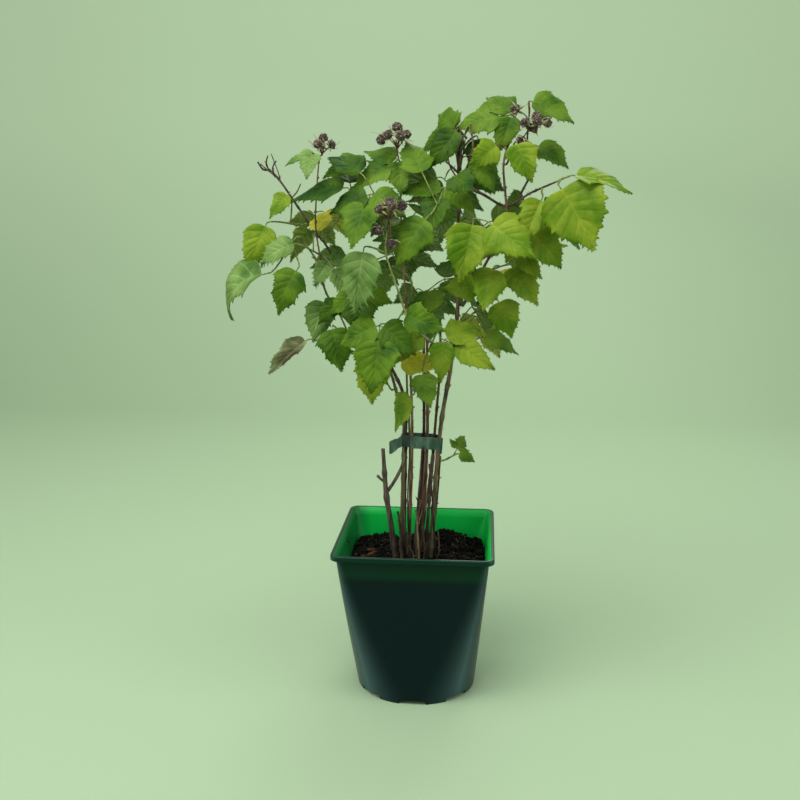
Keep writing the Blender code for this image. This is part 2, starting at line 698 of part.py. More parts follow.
def body_ring(height, inset):
    """The pot's body at this height, inset from its outer face."""
    share = height / BODY_TOP
    half = FOOT_RADIUS + (BODY_HALF - FOOT_RADIUS) * share
    corner = BODY_CORNER + (FOOT_RADIUS * ROUND - BODY_CORNER) * (1 - share) ** 1.2
    return level_ring(half - inset, corner - inset, height)


def make_pot():
    rings = [round_ring(PAD_RADIUS, 0), round_ring(PAD_RADIUS, FLOOR_LOW)]
    rings += [round_ring(FOOT_RADIUS - 2, FLOOR_LOW), round_ring(FOOT_RADIUS - 2, 0)]
    heights = [0, 30, 60, 90, 120, 142, BODY_TOP]
    rings += [body_ring(height, 0) for height in heights]
    sides = (BODY_TOP + RIM_UNDERCUT, POT_HEIGHT - LIP_ROUND)
    rings += [level_ring(RIM_HALF, RIM_CORNER, height) for height in sides]
    insets = (LIP_ROUND, LIP_WIDTH)
    rings += [level_ring(RIM_HALF - inset, RIM_CORNER - inset, POT_HEIGHT) for inset in insets]
    rings += [body_ring(BODY_TOP, WALL)]
    rings += [body_ring(height, WALL) for height in reversed(heights[1:-1])]
    rings += [body_ring(FLOOR_HIGH, WALL)]
    pot = solid("pot", bridge(rings))
    cutters = [notch_cutter(number) for number in range(NOTCHES)]
    cutters += [drain_cutter(number) for number in range(DRAIN_HOLES)]
    cutters += [clip_cutter(side) for side in (-1, 1)]
    apply_boolean(pot, cutters, "DIFFERENCE", "EXACT")
    finish(pot, "pot")


def box_shape(centre, size, angle):
    """A box turned about Z."""
    turn = Matrix.Rotation(angle, 3, "Z")
    corners = [(-1, -1), (1, -1), (1, 1), (-1, 1)]
    rings = []
    for z in (-1, 1):
        rings.append([centre + turn @ Vector((x * size.x, y * size.y, z * size.z)) / 2 for x, y in corners])
    return bridge(rings)


def notch_cutter(number):
    """A box across the foot's skirt, one in every eighth of the way round, the first at the front."""
    angle = 2 * math.pi * number / NOTCHES
    out = Vector((math.sin(angle), -math.cos(angle), 0))
    centre = out * (FOOT_RADIUS - 1) * MM
    size = Vector((NOTCH_WIDTH, 10, 2 * NOTCH_HEIGHT)) * MM
    return solid(f"notch_{number}", box_shape(centre, size, angle))


def drain_cutter(number):
    angle = math.radians(45) + 2 * math.pi * number / DRAIN_HOLES
    middle = Vector((math.cos(angle), math.sin(angle), 0)) * DRAIN_AT * MM
    path = [middle + UP * (FLOOR_LOW - 2) * MM, middle + UP * (FLOOR_HIGH + 2) * MM]
    return solid(f"drain_{number}", tube(path, [DRAIN_RADIUS * MM] * 2, 10))


def clip_cutter(side):
    """A slot for a label's clip through the left or the right wall, just above the compost."""
    centre = Vector((side * BODY_HALF, 0, CLIP_HEIGHT)) * MM
    size = Vector((12, CLIP_WIDTH, CLIP_HIGH)) * MM
    return solid(f"clip_{side}", box_shape(centre, size, 0))


def make_soil():
    inset = WALL + GAP / MM
    heights = [FLOOR_HIGH + GAP / MM, 30, 60, 90, 120, SOIL_EDGE]
    rings = [body_ring(height, inset) for height in heights]
    rings += [level_ring(SOIL_SHOULDER, SOIL_SHOULDER_CORNER, SOIL_TOP - SOIL_SHOULDER_DROP)]
    rings += [round_ring(SOIL_PLATEAU, SOIL_TOP)]
    finish(solid("soil", bridge(rings)), "soil")


def tape_point(limbs, height, angle, out_by):
    """Where the tape lies at this height and angle: on the cane that stands out furthest there."""
    out = Vector((math.cos(angle), math.sin(angle), 0))
    best = None
    for limb in limbs:
        after = next(i for i, p in enumerate(limb.path) if p.z > height)
        a, b = limb.path[after - 1], limb.path[after]
        t = (height - a.z) / (b.z - a.z)
        point = a.lerp(b, t)
        radius = max(limb.radii[after - 1], limb.radii[after])
        reach = point.dot(out) + radius
        if best is None or reach > best[0]:
            best = (reach, point + out * (radius + out_by))
    return best[1]


def make_tie(limbs):
    """A flat tape drawn round the standing canes, with its pinched ends sticking out on the left."""
    standing = [limb for name, limb in limbs.items() if name.startswith("cane")]
    turns = [2 * math.pi * k / TIE_STEPS for k in range(TIE_STEPS)]
    corners = []
    for height, thick in ((TIE_LOW, 0), (TIE_LOW, TIE_THICK), (TIE_HIGH, TIE_THICK), (TIE_HIGH, 0)):
        corners.append([tape_point(standing, height * MM, a, GAP + thick * MM) for a in turns])
    count = len(turns)
    points = [p for ring in corners for p in ring]
    faces = []
    for ring in range(4):
        after_ring = (ring + 1) % 4
        for i in range(count):
            after = (i + 1) % count
            faces.append((ring * count + i, ring * count + after,
                          after_ring * count + after, after_ring * count + i))
    tail_root = tape_point(standing, TIE_LOW * MM, math.pi * 1.08, GAP + TIE_THICK * 0.4 * MM)
    size = Vector((TIE_TAIL, 2.0 * TIE_THICK, TIE_HIGH - TIE_LOW - 0.8)) * MM
    centre = tail_root + Vector((-size.x * 0.46, -1.5 * MM, size.z / 2 + 0.4 * MM))
    fuse("tie", [(points, faces), box_shape(centre, size, math.radians(14))], "tie")


def build():
    clear_scene()
    make_pot()
    make_soil()
    limbs = grow_canes()
    make_tie(limbs)
    grow_boughs(limbs)
    grow_sprays(limbs, [limb_guard(limb, CANE_SIDES) for limb in limbs.values()])


build()
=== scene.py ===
# %% [markdown]
# # A raspberry cane in its pot
#
# The real object is a young raspberry in a square green nursery pot: a bundle of thin canes held by a tape,
# toothed leaves on arching twigs, and a few dried fruit heads. The packed solids already stand where each
# piece belongs, so this lesson loads them as a fixed frame and makes the surfaces that the eye meets.

# %% Load the frame
import math
import random
from collections import namedtuple

import bmesh
import bpy
import numpy as np
from mathutils import Matrix, Vector, noise
from mathutils.bvhtree import BVHTree


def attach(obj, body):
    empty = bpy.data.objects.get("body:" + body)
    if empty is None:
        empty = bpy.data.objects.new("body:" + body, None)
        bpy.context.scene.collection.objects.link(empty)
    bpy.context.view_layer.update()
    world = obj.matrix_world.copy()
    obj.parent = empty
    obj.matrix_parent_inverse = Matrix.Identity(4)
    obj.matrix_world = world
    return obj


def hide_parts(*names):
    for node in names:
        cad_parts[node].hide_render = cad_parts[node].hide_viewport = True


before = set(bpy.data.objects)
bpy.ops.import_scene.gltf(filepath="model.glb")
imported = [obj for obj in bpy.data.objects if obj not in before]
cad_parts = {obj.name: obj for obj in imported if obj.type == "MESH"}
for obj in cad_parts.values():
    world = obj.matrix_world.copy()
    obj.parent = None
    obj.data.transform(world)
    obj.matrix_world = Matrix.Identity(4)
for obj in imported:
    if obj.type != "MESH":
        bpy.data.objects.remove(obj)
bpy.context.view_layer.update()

MM = 0.001
UP = Vector((0, 0, 1))
print("solids in the frame:", len(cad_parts))

# %% [markdown]
# ## The camera
# The photograph looks down a little at the pot from a metre away. A camera can be aimed with a constraint,
# but its place and three plain numbers are easier to read: how far it is turned and tipped, and its lens.

# %% Camera
CAMERA_AT = (0.066, -0.957, 0.510)
CAMERA_TIP = 12.2
CAMERA_TURN = 5.0
LENS = 43.74

camera = bpy.data.objects.new("camera", bpy.data.cameras.new("camera"))
camera.data.lens = LENS
camera.data.sensor_width = 36
camera.location = CAMERA_AT
camera.rotation_euler = (math.radians(90 - CAMERA_TIP), 0, math.radians(CAMERA_TURN))
bpy.context.scene.collection.objects.link(camera)
bpy.context.scene.camera = camera
print("camera lens", LENS, "mm, tipped down", CAMERA_TIP, "degrees")

# %% [markdown]
# ## The light
# A plant on a sweep of pale paper gets light from large soft boxes. A small lamp would give hard shadows that
# hide the leaves' folds. So there is one wide lamp overhead, one on each side, one behind and a little sky
# light, and a last lamp evens out the paper at the back.

# %% Light
def srgb(red, green, blue):
    """A colour read off a screen, 0 to 255, as the linear colour that a shader takes."""
    def linear(value):
        value = value / 255
        return value / 12.92 if value <= 0.04045 else ((value + 0.055) / 1.055) ** 2.4
    return (linear(red), linear(green), linear(blue), 1)


def soft_box(name, place, size, power, tone=(1, 1, 1), aim=(0, 0, 0.36)):
    """A square lamp that looks at the middle of the plant, or at another aim."""
    lamp = bpy.data.objects.new(name, bpy.data.lights.new(name, "AREA"))
    lamp.data.shape = "SQUARE"
    lamp.data.size = size
    lamp.data.energy = power
    lamp.data.color = tone
    lamp.location = place
    lamp.rotation_euler = (Vector(aim) - Vector(place)).to_track_quat("-Z", "Y").to_euler()
    bpy.context.scene.collection.objects.link(lamp)


soft_box("lamp_over", (-0.35, -0.65, 1.65), 1.1, 25)
soft_box("lamp_left", (-1.5, -0.9, 0.9), 1.0, 9)
soft_box("lamp_right", (1.5, -0.5, 0.9), 1.0, 9)
soft_box("lamp_back", (0.3, 1.4, 1.3), 1.0, 10)
soft_box("lamp_sweep", (-0.3, 0.7, 2.4), 1.0, 7, (1, 1, 1), (-0.3, 1.9, 1.5))

world = bpy.data.worlds.new("sky_light")
world.use_nodes = True
world.node_tree.nodes["Background"].inputs["Color"].default_value = srgb(236, 242, 236)
world.node_tree.nodes["Background"].inputs["Strength"].default_value = 0.55
bpy.context.scene.world = world
bpy.context.scene.view_settings.view_transform = "Standard"

# %% [markdown]
# ## Finishes
# A material here is a small graph of nodes, and each node is made, set and joined in the same way. So a
# finish is a class: it holds the graph, and its helpers add a node or two each. A value that is the same all
# over stays a plain number on its socket.

# %% A finish and its nodes
class Finish:
    """A material in the making: its nodes, its links, and the shader that they lead to."""

    def __init__(self, name, roughness, shine=0.5):
        self.material = bpy.data.materials.new(name)
        self.material.use_nodes = True
        self.nodes = self.material.node_tree.nodes
        self.links = self.material.node_tree.links
        self.shader = self.nodes["Principled BSDF"]
        self.put("Roughness", roughness)
        self.put("Specular IOR Level", shine)

    def feed(self, socket, value):
        """Joins another node's socket to this one, or sets its plain value."""
        if isinstance(value, bpy.types.NodeSocket):
            self.links.new(value, socket)
        else:
            socket.default_value = value

    def put(self, name, value):
        """Feeds one of the shader's own inputs."""
        self.feed(self.shader.inputs[name], value)

    def node(self, kind, inputs=(), **settings):
        """A new node with these settings and inputs; what comes back are its outputs."""
        made = self.nodes.new("ShaderNode" + kind)
        for name, value in settings.items():
            setattr(made, name, value)
        for name, value in dict(inputs).items():
            self.feed(made.inputs[name], value)
        return made.outputs

    def cloud(self, scale, detail=3.0, stretch=None):
        """A noise pattern in the object's own metres, stretched along an axis where a grain runs."""
        place = self.node("TexCoord")["Object"]
        if stretch:
            place = self.node("Mapping", {"Vector": place, "Scale": stretch})["Vector"]
        return self.node("TexNoise", {"Vector": place, "Scale": scale, "Detail": detail})["Fac"]

    def tones(self, pattern, stops):
        """A colour ramp over a pattern, with a (position, colour) for each stop."""
        ramp = self.nodes.new("ShaderNodeValToRGB")
        while len(ramp.color_ramp.elements) < len(stops):
            ramp.color_ramp.elements.new(0.5)
        for stop, (position, colour) in zip(ramp.color_ramp.elements, stops):
            stop.position = position
            stop.color = colour
        self.links.new(pattern, ramp.inputs["Fac"])
        return ramp.outputs["Color"]

    def relief(self, pattern, strength, depth):
        """A bump from the pattern, on top of the one that the shader has already."""
        inputs = {"Strength": strength, "Distance": depth, "Height": pattern}
        for earlier in self.shader.inputs["Normal"].links:
            inputs["Normal"] = earlier.from_socket
        self.put("Normal", self.node("Bump", inputs)["Normal"])

    def apart(self, vector):
        """The X, Y and Z of a vector."""
        return self.node("SeparateXYZ", {"Vector": vector})


print("a finish can", *(name for name in vars(Finish) if not name.startswith("_")))

# %% [markdown]
# Compost, dried fruit and tape share one plan: two tones mixed by a soft cloud pattern, and a relief that is
# finer than the mesh. So that plan is a function.

# %% Two tones and a fine relief
TONE_STOPS = (0.35, 0.65)
RELIEF_DEPTH = 0.5 * MM


def two_tone(name, dark, light, roughness, scale, bump_scale, bump, stretch=None, shine=0.5):
    """Two tones in soft clouds, with a relief of its own scale."""
    finish = Finish(name, roughness, shine)
    clouds = finish.cloud(scale, stretch=stretch)
    finish.put("Base Color", finish.tones(clouds, list(zip(TONE_STOPS, (dark, light)))))
    finish.relief(finish.cloud(bump_scale, stretch=stretch), bump, RELIEF_DEPTH)
    return finish.material


print("a plain finish mixes its two tones between", *TONE_STOPS, "of a cloud pattern")

# %% [markdown]
# ## The paper
# A flat floor would end in a horizon line behind the plant. So the floor is one sheet that curls up at the
# back, as a photographer's roll of paper does. The lamps reach its upright part less, so that part gets a
# faint glow of its own: a colour ramp over which way the surface faces.

# %% Floor
FLOOR_HALF = 3.0
SWEEP_AT = 1.2
SWEEP_RADIUS = 0.7
SWEEP_STEPS = 16
SWEEP_TOP = 2.6
UPRIGHT_GLOW = (0.146, 0.172, 0.124, 1)
BLACK = (0, 0, 0, 1)
WHITE = (1, 1, 1, 1)


def sweep_profile():
    """The paper's side view: flat, then a quarter circle, then upright."""
    line = [(-FLOOR_HALF, 0.0), (SWEEP_AT, 0.0)]
    for step in range(1, SWEEP_STEPS + 1):
        angle = math.radians(90 * step / SWEEP_STEPS)
        line.append((SWEEP_AT + SWEEP_RADIUS * math.sin(angle), SWEEP_RADIUS * (1 - math.cos(angle))))
    return line + [(SWEEP_AT + SWEEP_RADIUS, SWEEP_TOP)]


profile = sweep_profile()
paper = bpy.data.meshes.new("paper_sweep")
rows = [(x, y, z) for y, z in profile for x in (-FLOOR_HALF, FLOOR_HALF)]
paper.from_pydata(rows, [], [(i, i + 1, i + 3, i + 2) for i in range(0, len(rows) - 2, 2)])
paper.shade_smooth()
floor = bpy.data.objects.new("paper_sweep", paper)
bpy.context.scene.collection.objects.link(floor)
pale_paper = Finish("pale_paper", 0.9)
pale_paper.put("Base Color", srgb(152, 175, 141))
level = pale_paper.apart(pale_paper.node("NewGeometry")["Normal"])["Z"]
pale_paper.put("Emission Color", pale_paper.tones(level, [(0.0, UPRIGHT_GLOW), (1.0, BLACK)]))
pale_paper.put("Emission Strength", 1.0)
paper.materials.append(pale_paper.material)
print("paper sweep of", len(paper.polygons), "strips")

# %% [markdown]
# ## A heap of faces
# Thousands of small shapes, such as crumbs, leaflets or prickles, are far quicker as one mesh than as many
# objects. A heap collects arrays of points and faces, remembers which finish each face takes, and becomes
# one piece.

# %% Heap
class Heap:
    """Points and faces gathered from many small shapes, each face marked with the number of its finish."""

    def __init__(self):
        self.points = []
        self.faces = []
        self.marks = []
        self.count = 0

    def add(self, points, *groups):
        """Each group is (faces, mark): equal faces, and the number of their finish or one for each."""
        for faces, mark in groups:
            self.faces.append(np.asarray(faces) + self.count)
            self.marks.append(np.full(len(faces), mark) if np.isscalar(mark) else np.asarray(mark))
        self.points.append(np.asarray(points, dtype=float).reshape(-1, 3))
        self.count += len(self.points[-1])

    def triangles(self):
        """How many triangles the faces make."""
        return sum(len(faces) * (faces.shape[1] - 2) for faces in self.faces)

    def piece(self, name, finishes, nodes=(), slot=None, sharp=None):
        """One object that rides on the root body and stands for these nodes; its slot is not used."""
        mesh = bpy.data.meshes.new(name)
        faces = [face for group in self.faces for face in group.tolist()]
        mesh.from_pydata(np.concatenate(self.points), [], faces)
        for finish in finishes:
            mesh.materials.append(finish)
        mesh.polygons.foreach_set("material_index", np.concatenate(self.marks).astype(np.int32))
        mesh.shade_smooth()
        if sharp:
            mesh.set_sharp_from_angle(angle=math.radians(sharp))
        mesh.update()
        made = bpy.data.objects.new(name, mesh)
        bpy.context.scene.collection.objects.link(made)
        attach(made, "root")
        if nodes:
            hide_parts(*nodes)
        print(f"{name}: {self.triangles()} triangles")
        return made


def grid_faces(rings, sides, closed=True):
    """Quads between rings of equally many points; closed joins each ring's last point to its first."""
    ring = np.arange(rings - 1)[:, None] * sides
    side = np.arange(sides if closed else sides - 1)[None, :]
    after = (side + 1) % sides
    corners = [ring + side, ring + after, ring + sides + after, ring + sides + side]
    return np.stack(corners, axis=-1).reshape(-1, 4)


def fan_faces(middle, ring, flip=False):
    """Triangles from a middle point to a ring of points."""
    after = np.roll(ring, -1)
    wheel = np.stack([np.full(len(ring), middle), ring, after], axis=-1)
    return wheel[:, ::-1] if flip else wheel


print("a ring of 4 points twice makes", len(grid_faces(2, 4)), "faces")

# %% [markdown]
# ## The pot
# A nursery pot is a thin square funnel, square at its rim and round at its foot, with a rolled lip and a
# skirt with notches that let water out. It could be a cube with its base tapered, but then the corners
# stay sharp all the way down. Here each level is a ring of four arcs whose radius grows towards the foot,
# and the rings are bridged from the floor pad, out over the skirt, up, over the lip and down inside.

# %% Pot sizes, in millimetres
POT_HEIGHT = 163
FOOT_RADIUS = 62
BODY_HALF = 75
BODY_TOP = 157
BODY_CORNER = 8
RIM_HALF = 80
RIM_CORNER = 10
WALL = 1.5
ROUND = 0.97
FLOOR_LOW = 4.6
FLOOR_HIGH = 6.1
PAD_RADIUS = 12
SKIRT = 2
LIP_ROUND = 1.5
ARC_STEPS = 14


def level_ring(half, corner, height):
    """A level ring: four quarter arcs joined by straight sides."""
    ring = []
    for quarter, (sx, sy) in enumerate(((1, 1), (-1, 1), (-1, -1), (1, -1))):
        for step in range(ARC_STEPS + 1):
            angle = math.radians(90 * (quarter + step / ARC_STEPS))
            x = sx * (half - corner) + corner * math.cos(angle)
            y = sy * (half - corner) + corner * math.sin(angle)
            ring.append((x * MM, y * MM, height * MM))
    return ring


def body_ring(height, inset):
    """The pot's body at this height, inset from its outer face."""
    share = height / BODY_TOP
    half = FOOT_RADIUS + (BODY_HALF - FOOT_RADIUS) * share
    corner = BODY_CORNER + (FOOT_RADIUS * ROUND - BODY_CORNER) * (1 - share) ** 1.2
    return level_ring(half - inset, corner - inset, height)


def rim_ring(inset, height):
    """A ring of the rim, inset from its outer face."""
    return level_ring(RIM_HALF - inset, RIM_CORNER - inset, height)


def lip_rings():
    """The rolled lip: out from the body, up the side, over a rounded edge and across the top."""
    rings = [level_ring(RIM_HALF - 0.5, RIM_CORNER, BODY_TOP + 0.6), rim_ring(0, BODY_TOP + 1.1)]
    for angle in (0, 30, 60, 90):
        turn = math.radians(angle)
        rings.append(rim_ring(LIP_ROUND * (1 - math.cos(turn)),
                              POT_HEIGHT - LIP_ROUND + LIP_ROUND * math.sin(turn)))
    return rings + [rim_ring(2.9, POT_HEIGHT), rim_ring(3.4, POT_HEIGHT - 0.4)]


print("pot rim", 2 * RIM_HALF, "mm across, its top at", POT_HEIGHT, "mm")

# %% [markdown]
# The rings run in one order, so that each pair can be bridged with quads: under the floor, out to the skirt,
# up the outside, over the lip, down the inside and in over the floor. The faces from the lip inwards are
# marked for the inner finish, whose bright green is a painted glow of light through the wall.

# %% Pot rings
outer_heights = [0, 0.6, 8, 20, 35, 50, 65, 80, 95, 110, 125, 140, BODY_TOP - 3, BODY_TOP]
pot_rings = [level_ring(PAD_RADIUS, PAD_RADIUS * ROUND, z) for z in (0, FLOOR_LOW)]
pot_rings += [level_ring(FOOT_RADIUS - SKIRT, (FOOT_RADIUS - SKIRT) * ROUND, z) for z in (FLOOR_LOW, 0)]
pot_rings += [body_ring(z, 0) for z in outer_heights]
pot_rings += lip_rings()
first_inner = len(pot_rings)
pot_rings += [body_ring(z, WALL) for z in reversed(outer_heights[2:])] + [body_ring(FLOOR_HIGH, WALL)]
ring_size = len(pot_rings[0])

pot_heap = Heap()
ring_marks = np.repeat([int(i >= first_inner - 1) for i in range(len(pot_rings) - 1)], ring_size)
pot_heap.add(np.array(pot_rings), (grid_faces(len(pot_rings), ring_size), ring_marks))
print("pot rings:", len(pot_rings), "of", ring_size, "points")

# %% [markdown]
# Notches, drain holes and slots could be drawn into the mesh point by point. It is simpler to take boxes and
# short rods out of it with a boolean modifier, and to keep the mesh that the modifier gives.

# %% Cutting
def box_object(centre, size, angle):
    """A cutter: a box turned about Z, its place and size in millimetres."""
    bpy.ops.mesh.primitive_cube_add(size=1)
    made = bpy.context.object
    turned = Matrix.Translation(centre * MM) @ Matrix.Rotation(angle, 4, "Z")
    made.data.transform(turned @ Matrix.Diagonal((*(Vector(size) * MM), 1)))
    return made


def cut_away(target, cutters):
    """Takes the cutters out of the target's mesh, for good, and removes them."""
    group = bpy.data.collections.new("cutters")
    for cutter in cutters:
        for home in cutter.users_collection:
            home.objects.unlink(cutter)
        group.objects.link(cutter)
    bpy.context.scene.collection.children.link(group)
    cut = target.modifiers.new("cut", "BOOLEAN")
    cut.operation = "DIFFERENCE"
    cut.operand_type = "COLLECTION"
    cut.collection = group
    graph = bpy.context.evaluated_depsgraph_get()
    shape = bpy.data.meshes.new_from_object(target.evaluated_get(graph))
    target.modifiers.clear()
    target.data = shape
    for cutter in cutters:
        bpy.data.objects.remove(cutter, do_unlink=True)
    bpy.data.collections.remove(group)
    print(len(cutters), "cuts in", target.name)


print("cuts are taken out of the mesh for good")

# %% [markdown]
# ## Finishes that change from place to place
# Some colours depend on where a point is, such as the band under the pot's rim. One helper turns a place on
# an axis into a share from 0 to 1, one does a sum, and one mixes two colours.

# %% Nodes that measure and mix
def share_along(finish, axis, start, end, least=0.0, most=1.0):
    """A number that goes from least to most between two places on an axis of the object, in metres."""
    place = finish.apart(finish.node("TexCoord")["Object"])[axis]
    return finish.node("MapRange", {"Value": place, "From Min": start, "From Max": end,
                                    "To Min": least, "To Max": most})["Result"]


def reckon(finish, operation, *values):
    """One sum of numbers and sockets."""
    return finish.node("Math", enumerate(values), operation=operation)["Value"]


def blended(finish, share, one, other, how="MIX"):
    """Two colours mixed or multiplied."""
    inputs = {"Factor": share, "A": one, "B": other}
    return finish.node("Mix", inputs, data_type="RGBA", blend_type=how)["Result"]


print("one unit of the object's coordinates is", round(1 / MM), "mm")

# %% [markdown]
# The plastic is dark green outside and, where light comes through the wall above the compost, a clear
# bright green inside. Real see-through plastic would need many light bounces. Two finishes paint that light
# in instead: the outer one turns greener under the rim and the inner one is bright, both a painted glow of
# light through the wall. The rounded corners of the real pot catch the sky, so the outer finish also gets a
# painted reflection of the sky there, a pale tone found from where each face points.

# %% Pot finishes
PAINTED_REFLECTION_FULL = 0.38
PAINTED_REFLECTION_LEAST = 0.15
PAINTED_REFLECTION_POWER = 1.6
PAINTED_REFLECTION_TONE = srgb(100, 138, 144)
# The greener tones at the top are a painted glow of light coming through the wall under the rim.
OUTSIDE_TONES = [(0.0, srgb(0, 23, 25)), (0.42, srgb(0, 22, 23)),
                 (0.60, srgb(0, 44, 25)), (1.0, srgb(0, 40, 26))]
# Inside, all tones are a painted glow of light through the wall, darkest on the left as painted shade.
INSIDE_GLOW_TONES = [(0.0, srgb(4, 92, 42)), (0.3, srgb(3, 118, 50)), (1.0, srgb(1, 176, 66))]


def corner_painted_reflection(finish):
    """Painted sky reflection: 0 on flat walls, most on the rounded corners, stronger towards the foot."""
    facing = finish.apart(finish.node("TexCoord")["Normal"])
    x = reckon(finish, "ABSOLUTE", facing["X"])
    y = reckon(finish, "ABSOLUTE", facing["Y"])
    roundness = reckon(finish, "DIVIDE", reckon(finish, "MINIMUM", x, y), reckon(finish, "MAXIMUM", x, y))
    fade = share_along(finish, "Z", 0.155, 0.02, PAINTED_REFLECTION_LEAST, PAINTED_REFLECTION_FULL)
    return reckon(finish, "MULTIPLY", reckon(finish, "POWER", roundness, PAINTED_REFLECTION_POWER), fade)


def pot_outside():
    """Nearly black green, a painted glow in a band under the rim, painted sky reflection on the corners."""
    finish = Finish("pot_green_outside", 0.26, 0.14)
    walls = finish.tones(share_along(finish, "Z", 0.120, 0.157), OUTSIDE_TONES)
    # The corners' pale tone is a painted reflection of the sky.
    finish.put("Base Color", blended(finish, corner_painted_reflection(finish), walls, PAINTED_REFLECTION_TONE))
    finish.relief(finish.cloud(900, 4), 0.12, 0.05 * MM)
    return finish.material


def pot_inside():
    """Painted glow of light through the wall in bright green, with painted shade on the left wall."""
    finish = Finish("pot_green_inside", 0.42, 0.3)
    finish.put("Base Color", finish.tones(share_along(finish, "X", -0.076, -0.056), INSIDE_GLOW_TONES))
    return finish.material


print("pot finishes: outside with", len(OUTSIDE_TONES), "tones, inside with", len(INSIDE_GLOW_TONES))

# %% [markdown]
# The rings leave the middle of the floor open on both sides, and a boolean needs a closed shape, so two caps
# are added first. Then come the notches that let water out under the skirt, the drain holes, the slot under
# the rim on each side, and a narrow bevel, because moulded plastic has no truly sharp edge.

# %% Pot
NOTCHES = 8
NOTCH_SIZE = (27, 10, 8.8)
DRAIN_HOLES = 4
DRAIN_RADIUS = 5
DRAIN_AT = 38
SLOT_SIZE = (12, 10, 4)
SLOT_HEIGHT = 147
EDGE_ANGLE = math.radians(38)
EDGE_ROUND = 0.35

pot = pot_heap.piece("pot_shell", [pot_outside(), pot_inside()], ["pot"], "pot_plastic")
closing = bmesh.new()
closing.from_mesh(pot.data)
closing.verts.ensure_lookup_table()
for first in (0, len(closing.verts) - ring_size):
    ring = [closing.verts[first + i] for i in range(ring_size)]
    cap = closing.faces.new(ring if first else reversed(ring))
    cap.material_index = 1 if first else 0
closing.normal_update()
closing.to_mesh(pot.data)
closing.free()

cutters = []
for number in range(NOTCHES):
    angle = 2 * math.pi * number / NOTCHES
    out = Vector((math.sin(angle), -math.cos(angle), 0))
    cutters.append(box_object(out * (FOOT_RADIUS - 1), NOTCH_SIZE, angle))
for number in range(DRAIN_HOLES):
    angle = math.radians(45 + 360 * number / DRAIN_HOLES)
    at = Vector((DRAIN_AT * math.cos(angle), DRAIN_AT * math.sin(angle), (FLOOR_LOW + FLOOR_HIGH) / 2)) * MM
    bpy.ops.mesh.primitive_cylinder_add(vertices=24, radius=DRAIN_RADIUS * MM, depth=6 * MM, location=at)
    cutters.append(bpy.context.object)
for side in (-1, 1):
    cutters.append(box_object(Vector((side * BODY_HALF, 0, SLOT_HEIGHT)), SLOT_SIZE, 0))
cut_away(pot, cutters)
pot.data.shade_smooth()
pot.data.set_sharp_from_angle(angle=EDGE_ANGLE)
soften = pot.modifiers.new("soft_edges", "BEVEL")
soften.width = EDGE_ROUND * MM
soften.segments = 2
soften.limit_method = "ANGLE"
soften.angle_limit = EDGE_ANGLE
print("pot faces after the cuts:", len(pot.data.polygons))

# %% [markdown]
# ## The compost
# Potting compost is dark crumbs, bits of bark and pale root fibres. One bumpy surface looks like mud, so a
# low mounded bed is covered with a few thousand small broken lumps and thin bent fibres, all in one heap.

# %% Compost sizes
SOIL_EDGE = 131
SOIL_TOP = 136
BED_HALF = 70.5
BED_CORNER = 12
BED_CELLS = 90
MOUNDS = ((7, 4, 20, 1300), (9, 30, 46, 460))


def soil_height(x, y):
    """The bed's height in mm: flat in the middle, lower at the walls, lumpy, with two low mounds."""
    edge = max(abs(x), abs(y)) / 71
    fall = (SOIL_TOP - SOIL_EDGE) * max(0, edge - 0.6) / 0.4
    lumps = noise.noise(Vector((x, y, 0)) * 0.09) * 2.8 + noise.noise(Vector((x, y, 9)) * 0.3) * 0.8
    mound = sum(high * math.exp(-((x - at_x) ** 2 + (y - at_y) ** 2) / spread)
                for high, at_x, at_y, spread in MOUNDS)
    return SOIL_TOP - 1.0 - fall + lumps + mound


def squared(u, v, half):
    """A point of a square sheet, -1 to 1 each way, pulled in at its corners to fit the pot's rounded wall."""
    pull = 1 - (1 - 1 / math.sqrt(2)) * BED_CORNER / half * (abs(u * v)) ** 3
    return u * half * pull, v * half * pull


print("compost in the middle:", round(soil_height(0, 0), 1), "mm high")

# %% [markdown]
# Scattering a particle system over the bed is the usual way, but its pieces would be separate and would
# poke through the wall. Here each crumb is a small ball knocked out of shape, and a loop sets a few thousand
# of them down at the bed's own height, smaller near the wall. Now and then one is a stretched chip of bark.

# %% Crumbs and fibres
CRUMB_SHAPES = 24
CRUMB_SIZES = (0.6, 0.8, 1.0, 1.3, 1.7, 2.4, 3.6)
LITTER_HALF = 69
CHIP_SHARE = 0.04
CHIP_STRETCH = (2.2, 0.7, 0.5)


def small_ball(subdivisions):
    """(points, faces) of a ball of radius 1."""
    ball = bmesh.new()
    bmesh.ops.create_icosphere(ball, subdivisions=subdivisions, radius=1)
    points = np.array([vertex.co[:] for vertex in ball.verts])
    faces = np.array([[vertex.index for vertex in face.verts] for face in ball.faces])
    ball.free()
    return points, faces


def lump(draw):
    """A broken crumb: a small ball squashed and knocked about."""
    points, faces = small_ball(1)
    squash = [draw.uniform(0.6, 1.2) for _ in range(3)]
    knocks = [draw.uniform(0.5, 1.3) for _ in points]
    return points * squash * np.array(knocks)[:, None], faces


def add_crumb(heap, draw, shape):
    """One crumb on the bed, or now and then a chip, no larger than the wall leaves room for."""
    x, y = squared(draw.uniform(-1, 1), draw.uniform(-1, 1), LITTER_HALF)
    size = draw.choice(CRUMB_SIZES) * draw.uniform(0.7, 1.2)
    heading = Matrix.Rotation(draw.uniform(0, 6.3), 3, "Z")
    turn = np.array(heading @ Matrix.Rotation(draw.uniform(0, 3), 3, "X"))
    centre = np.array((x, y, soil_height(x, y) + size * 0.3))
    chip = draw.random() < CHIP_SHARE
    points = shape[0] * CHIP_STRETCH if chip else shape[0]
    room = 67 - 0.8 * max(abs(x), abs(y))
    heap.add((points @ turn.T * min(size, room) + centre) * MM, (shape[1], 2 if chip else 0))


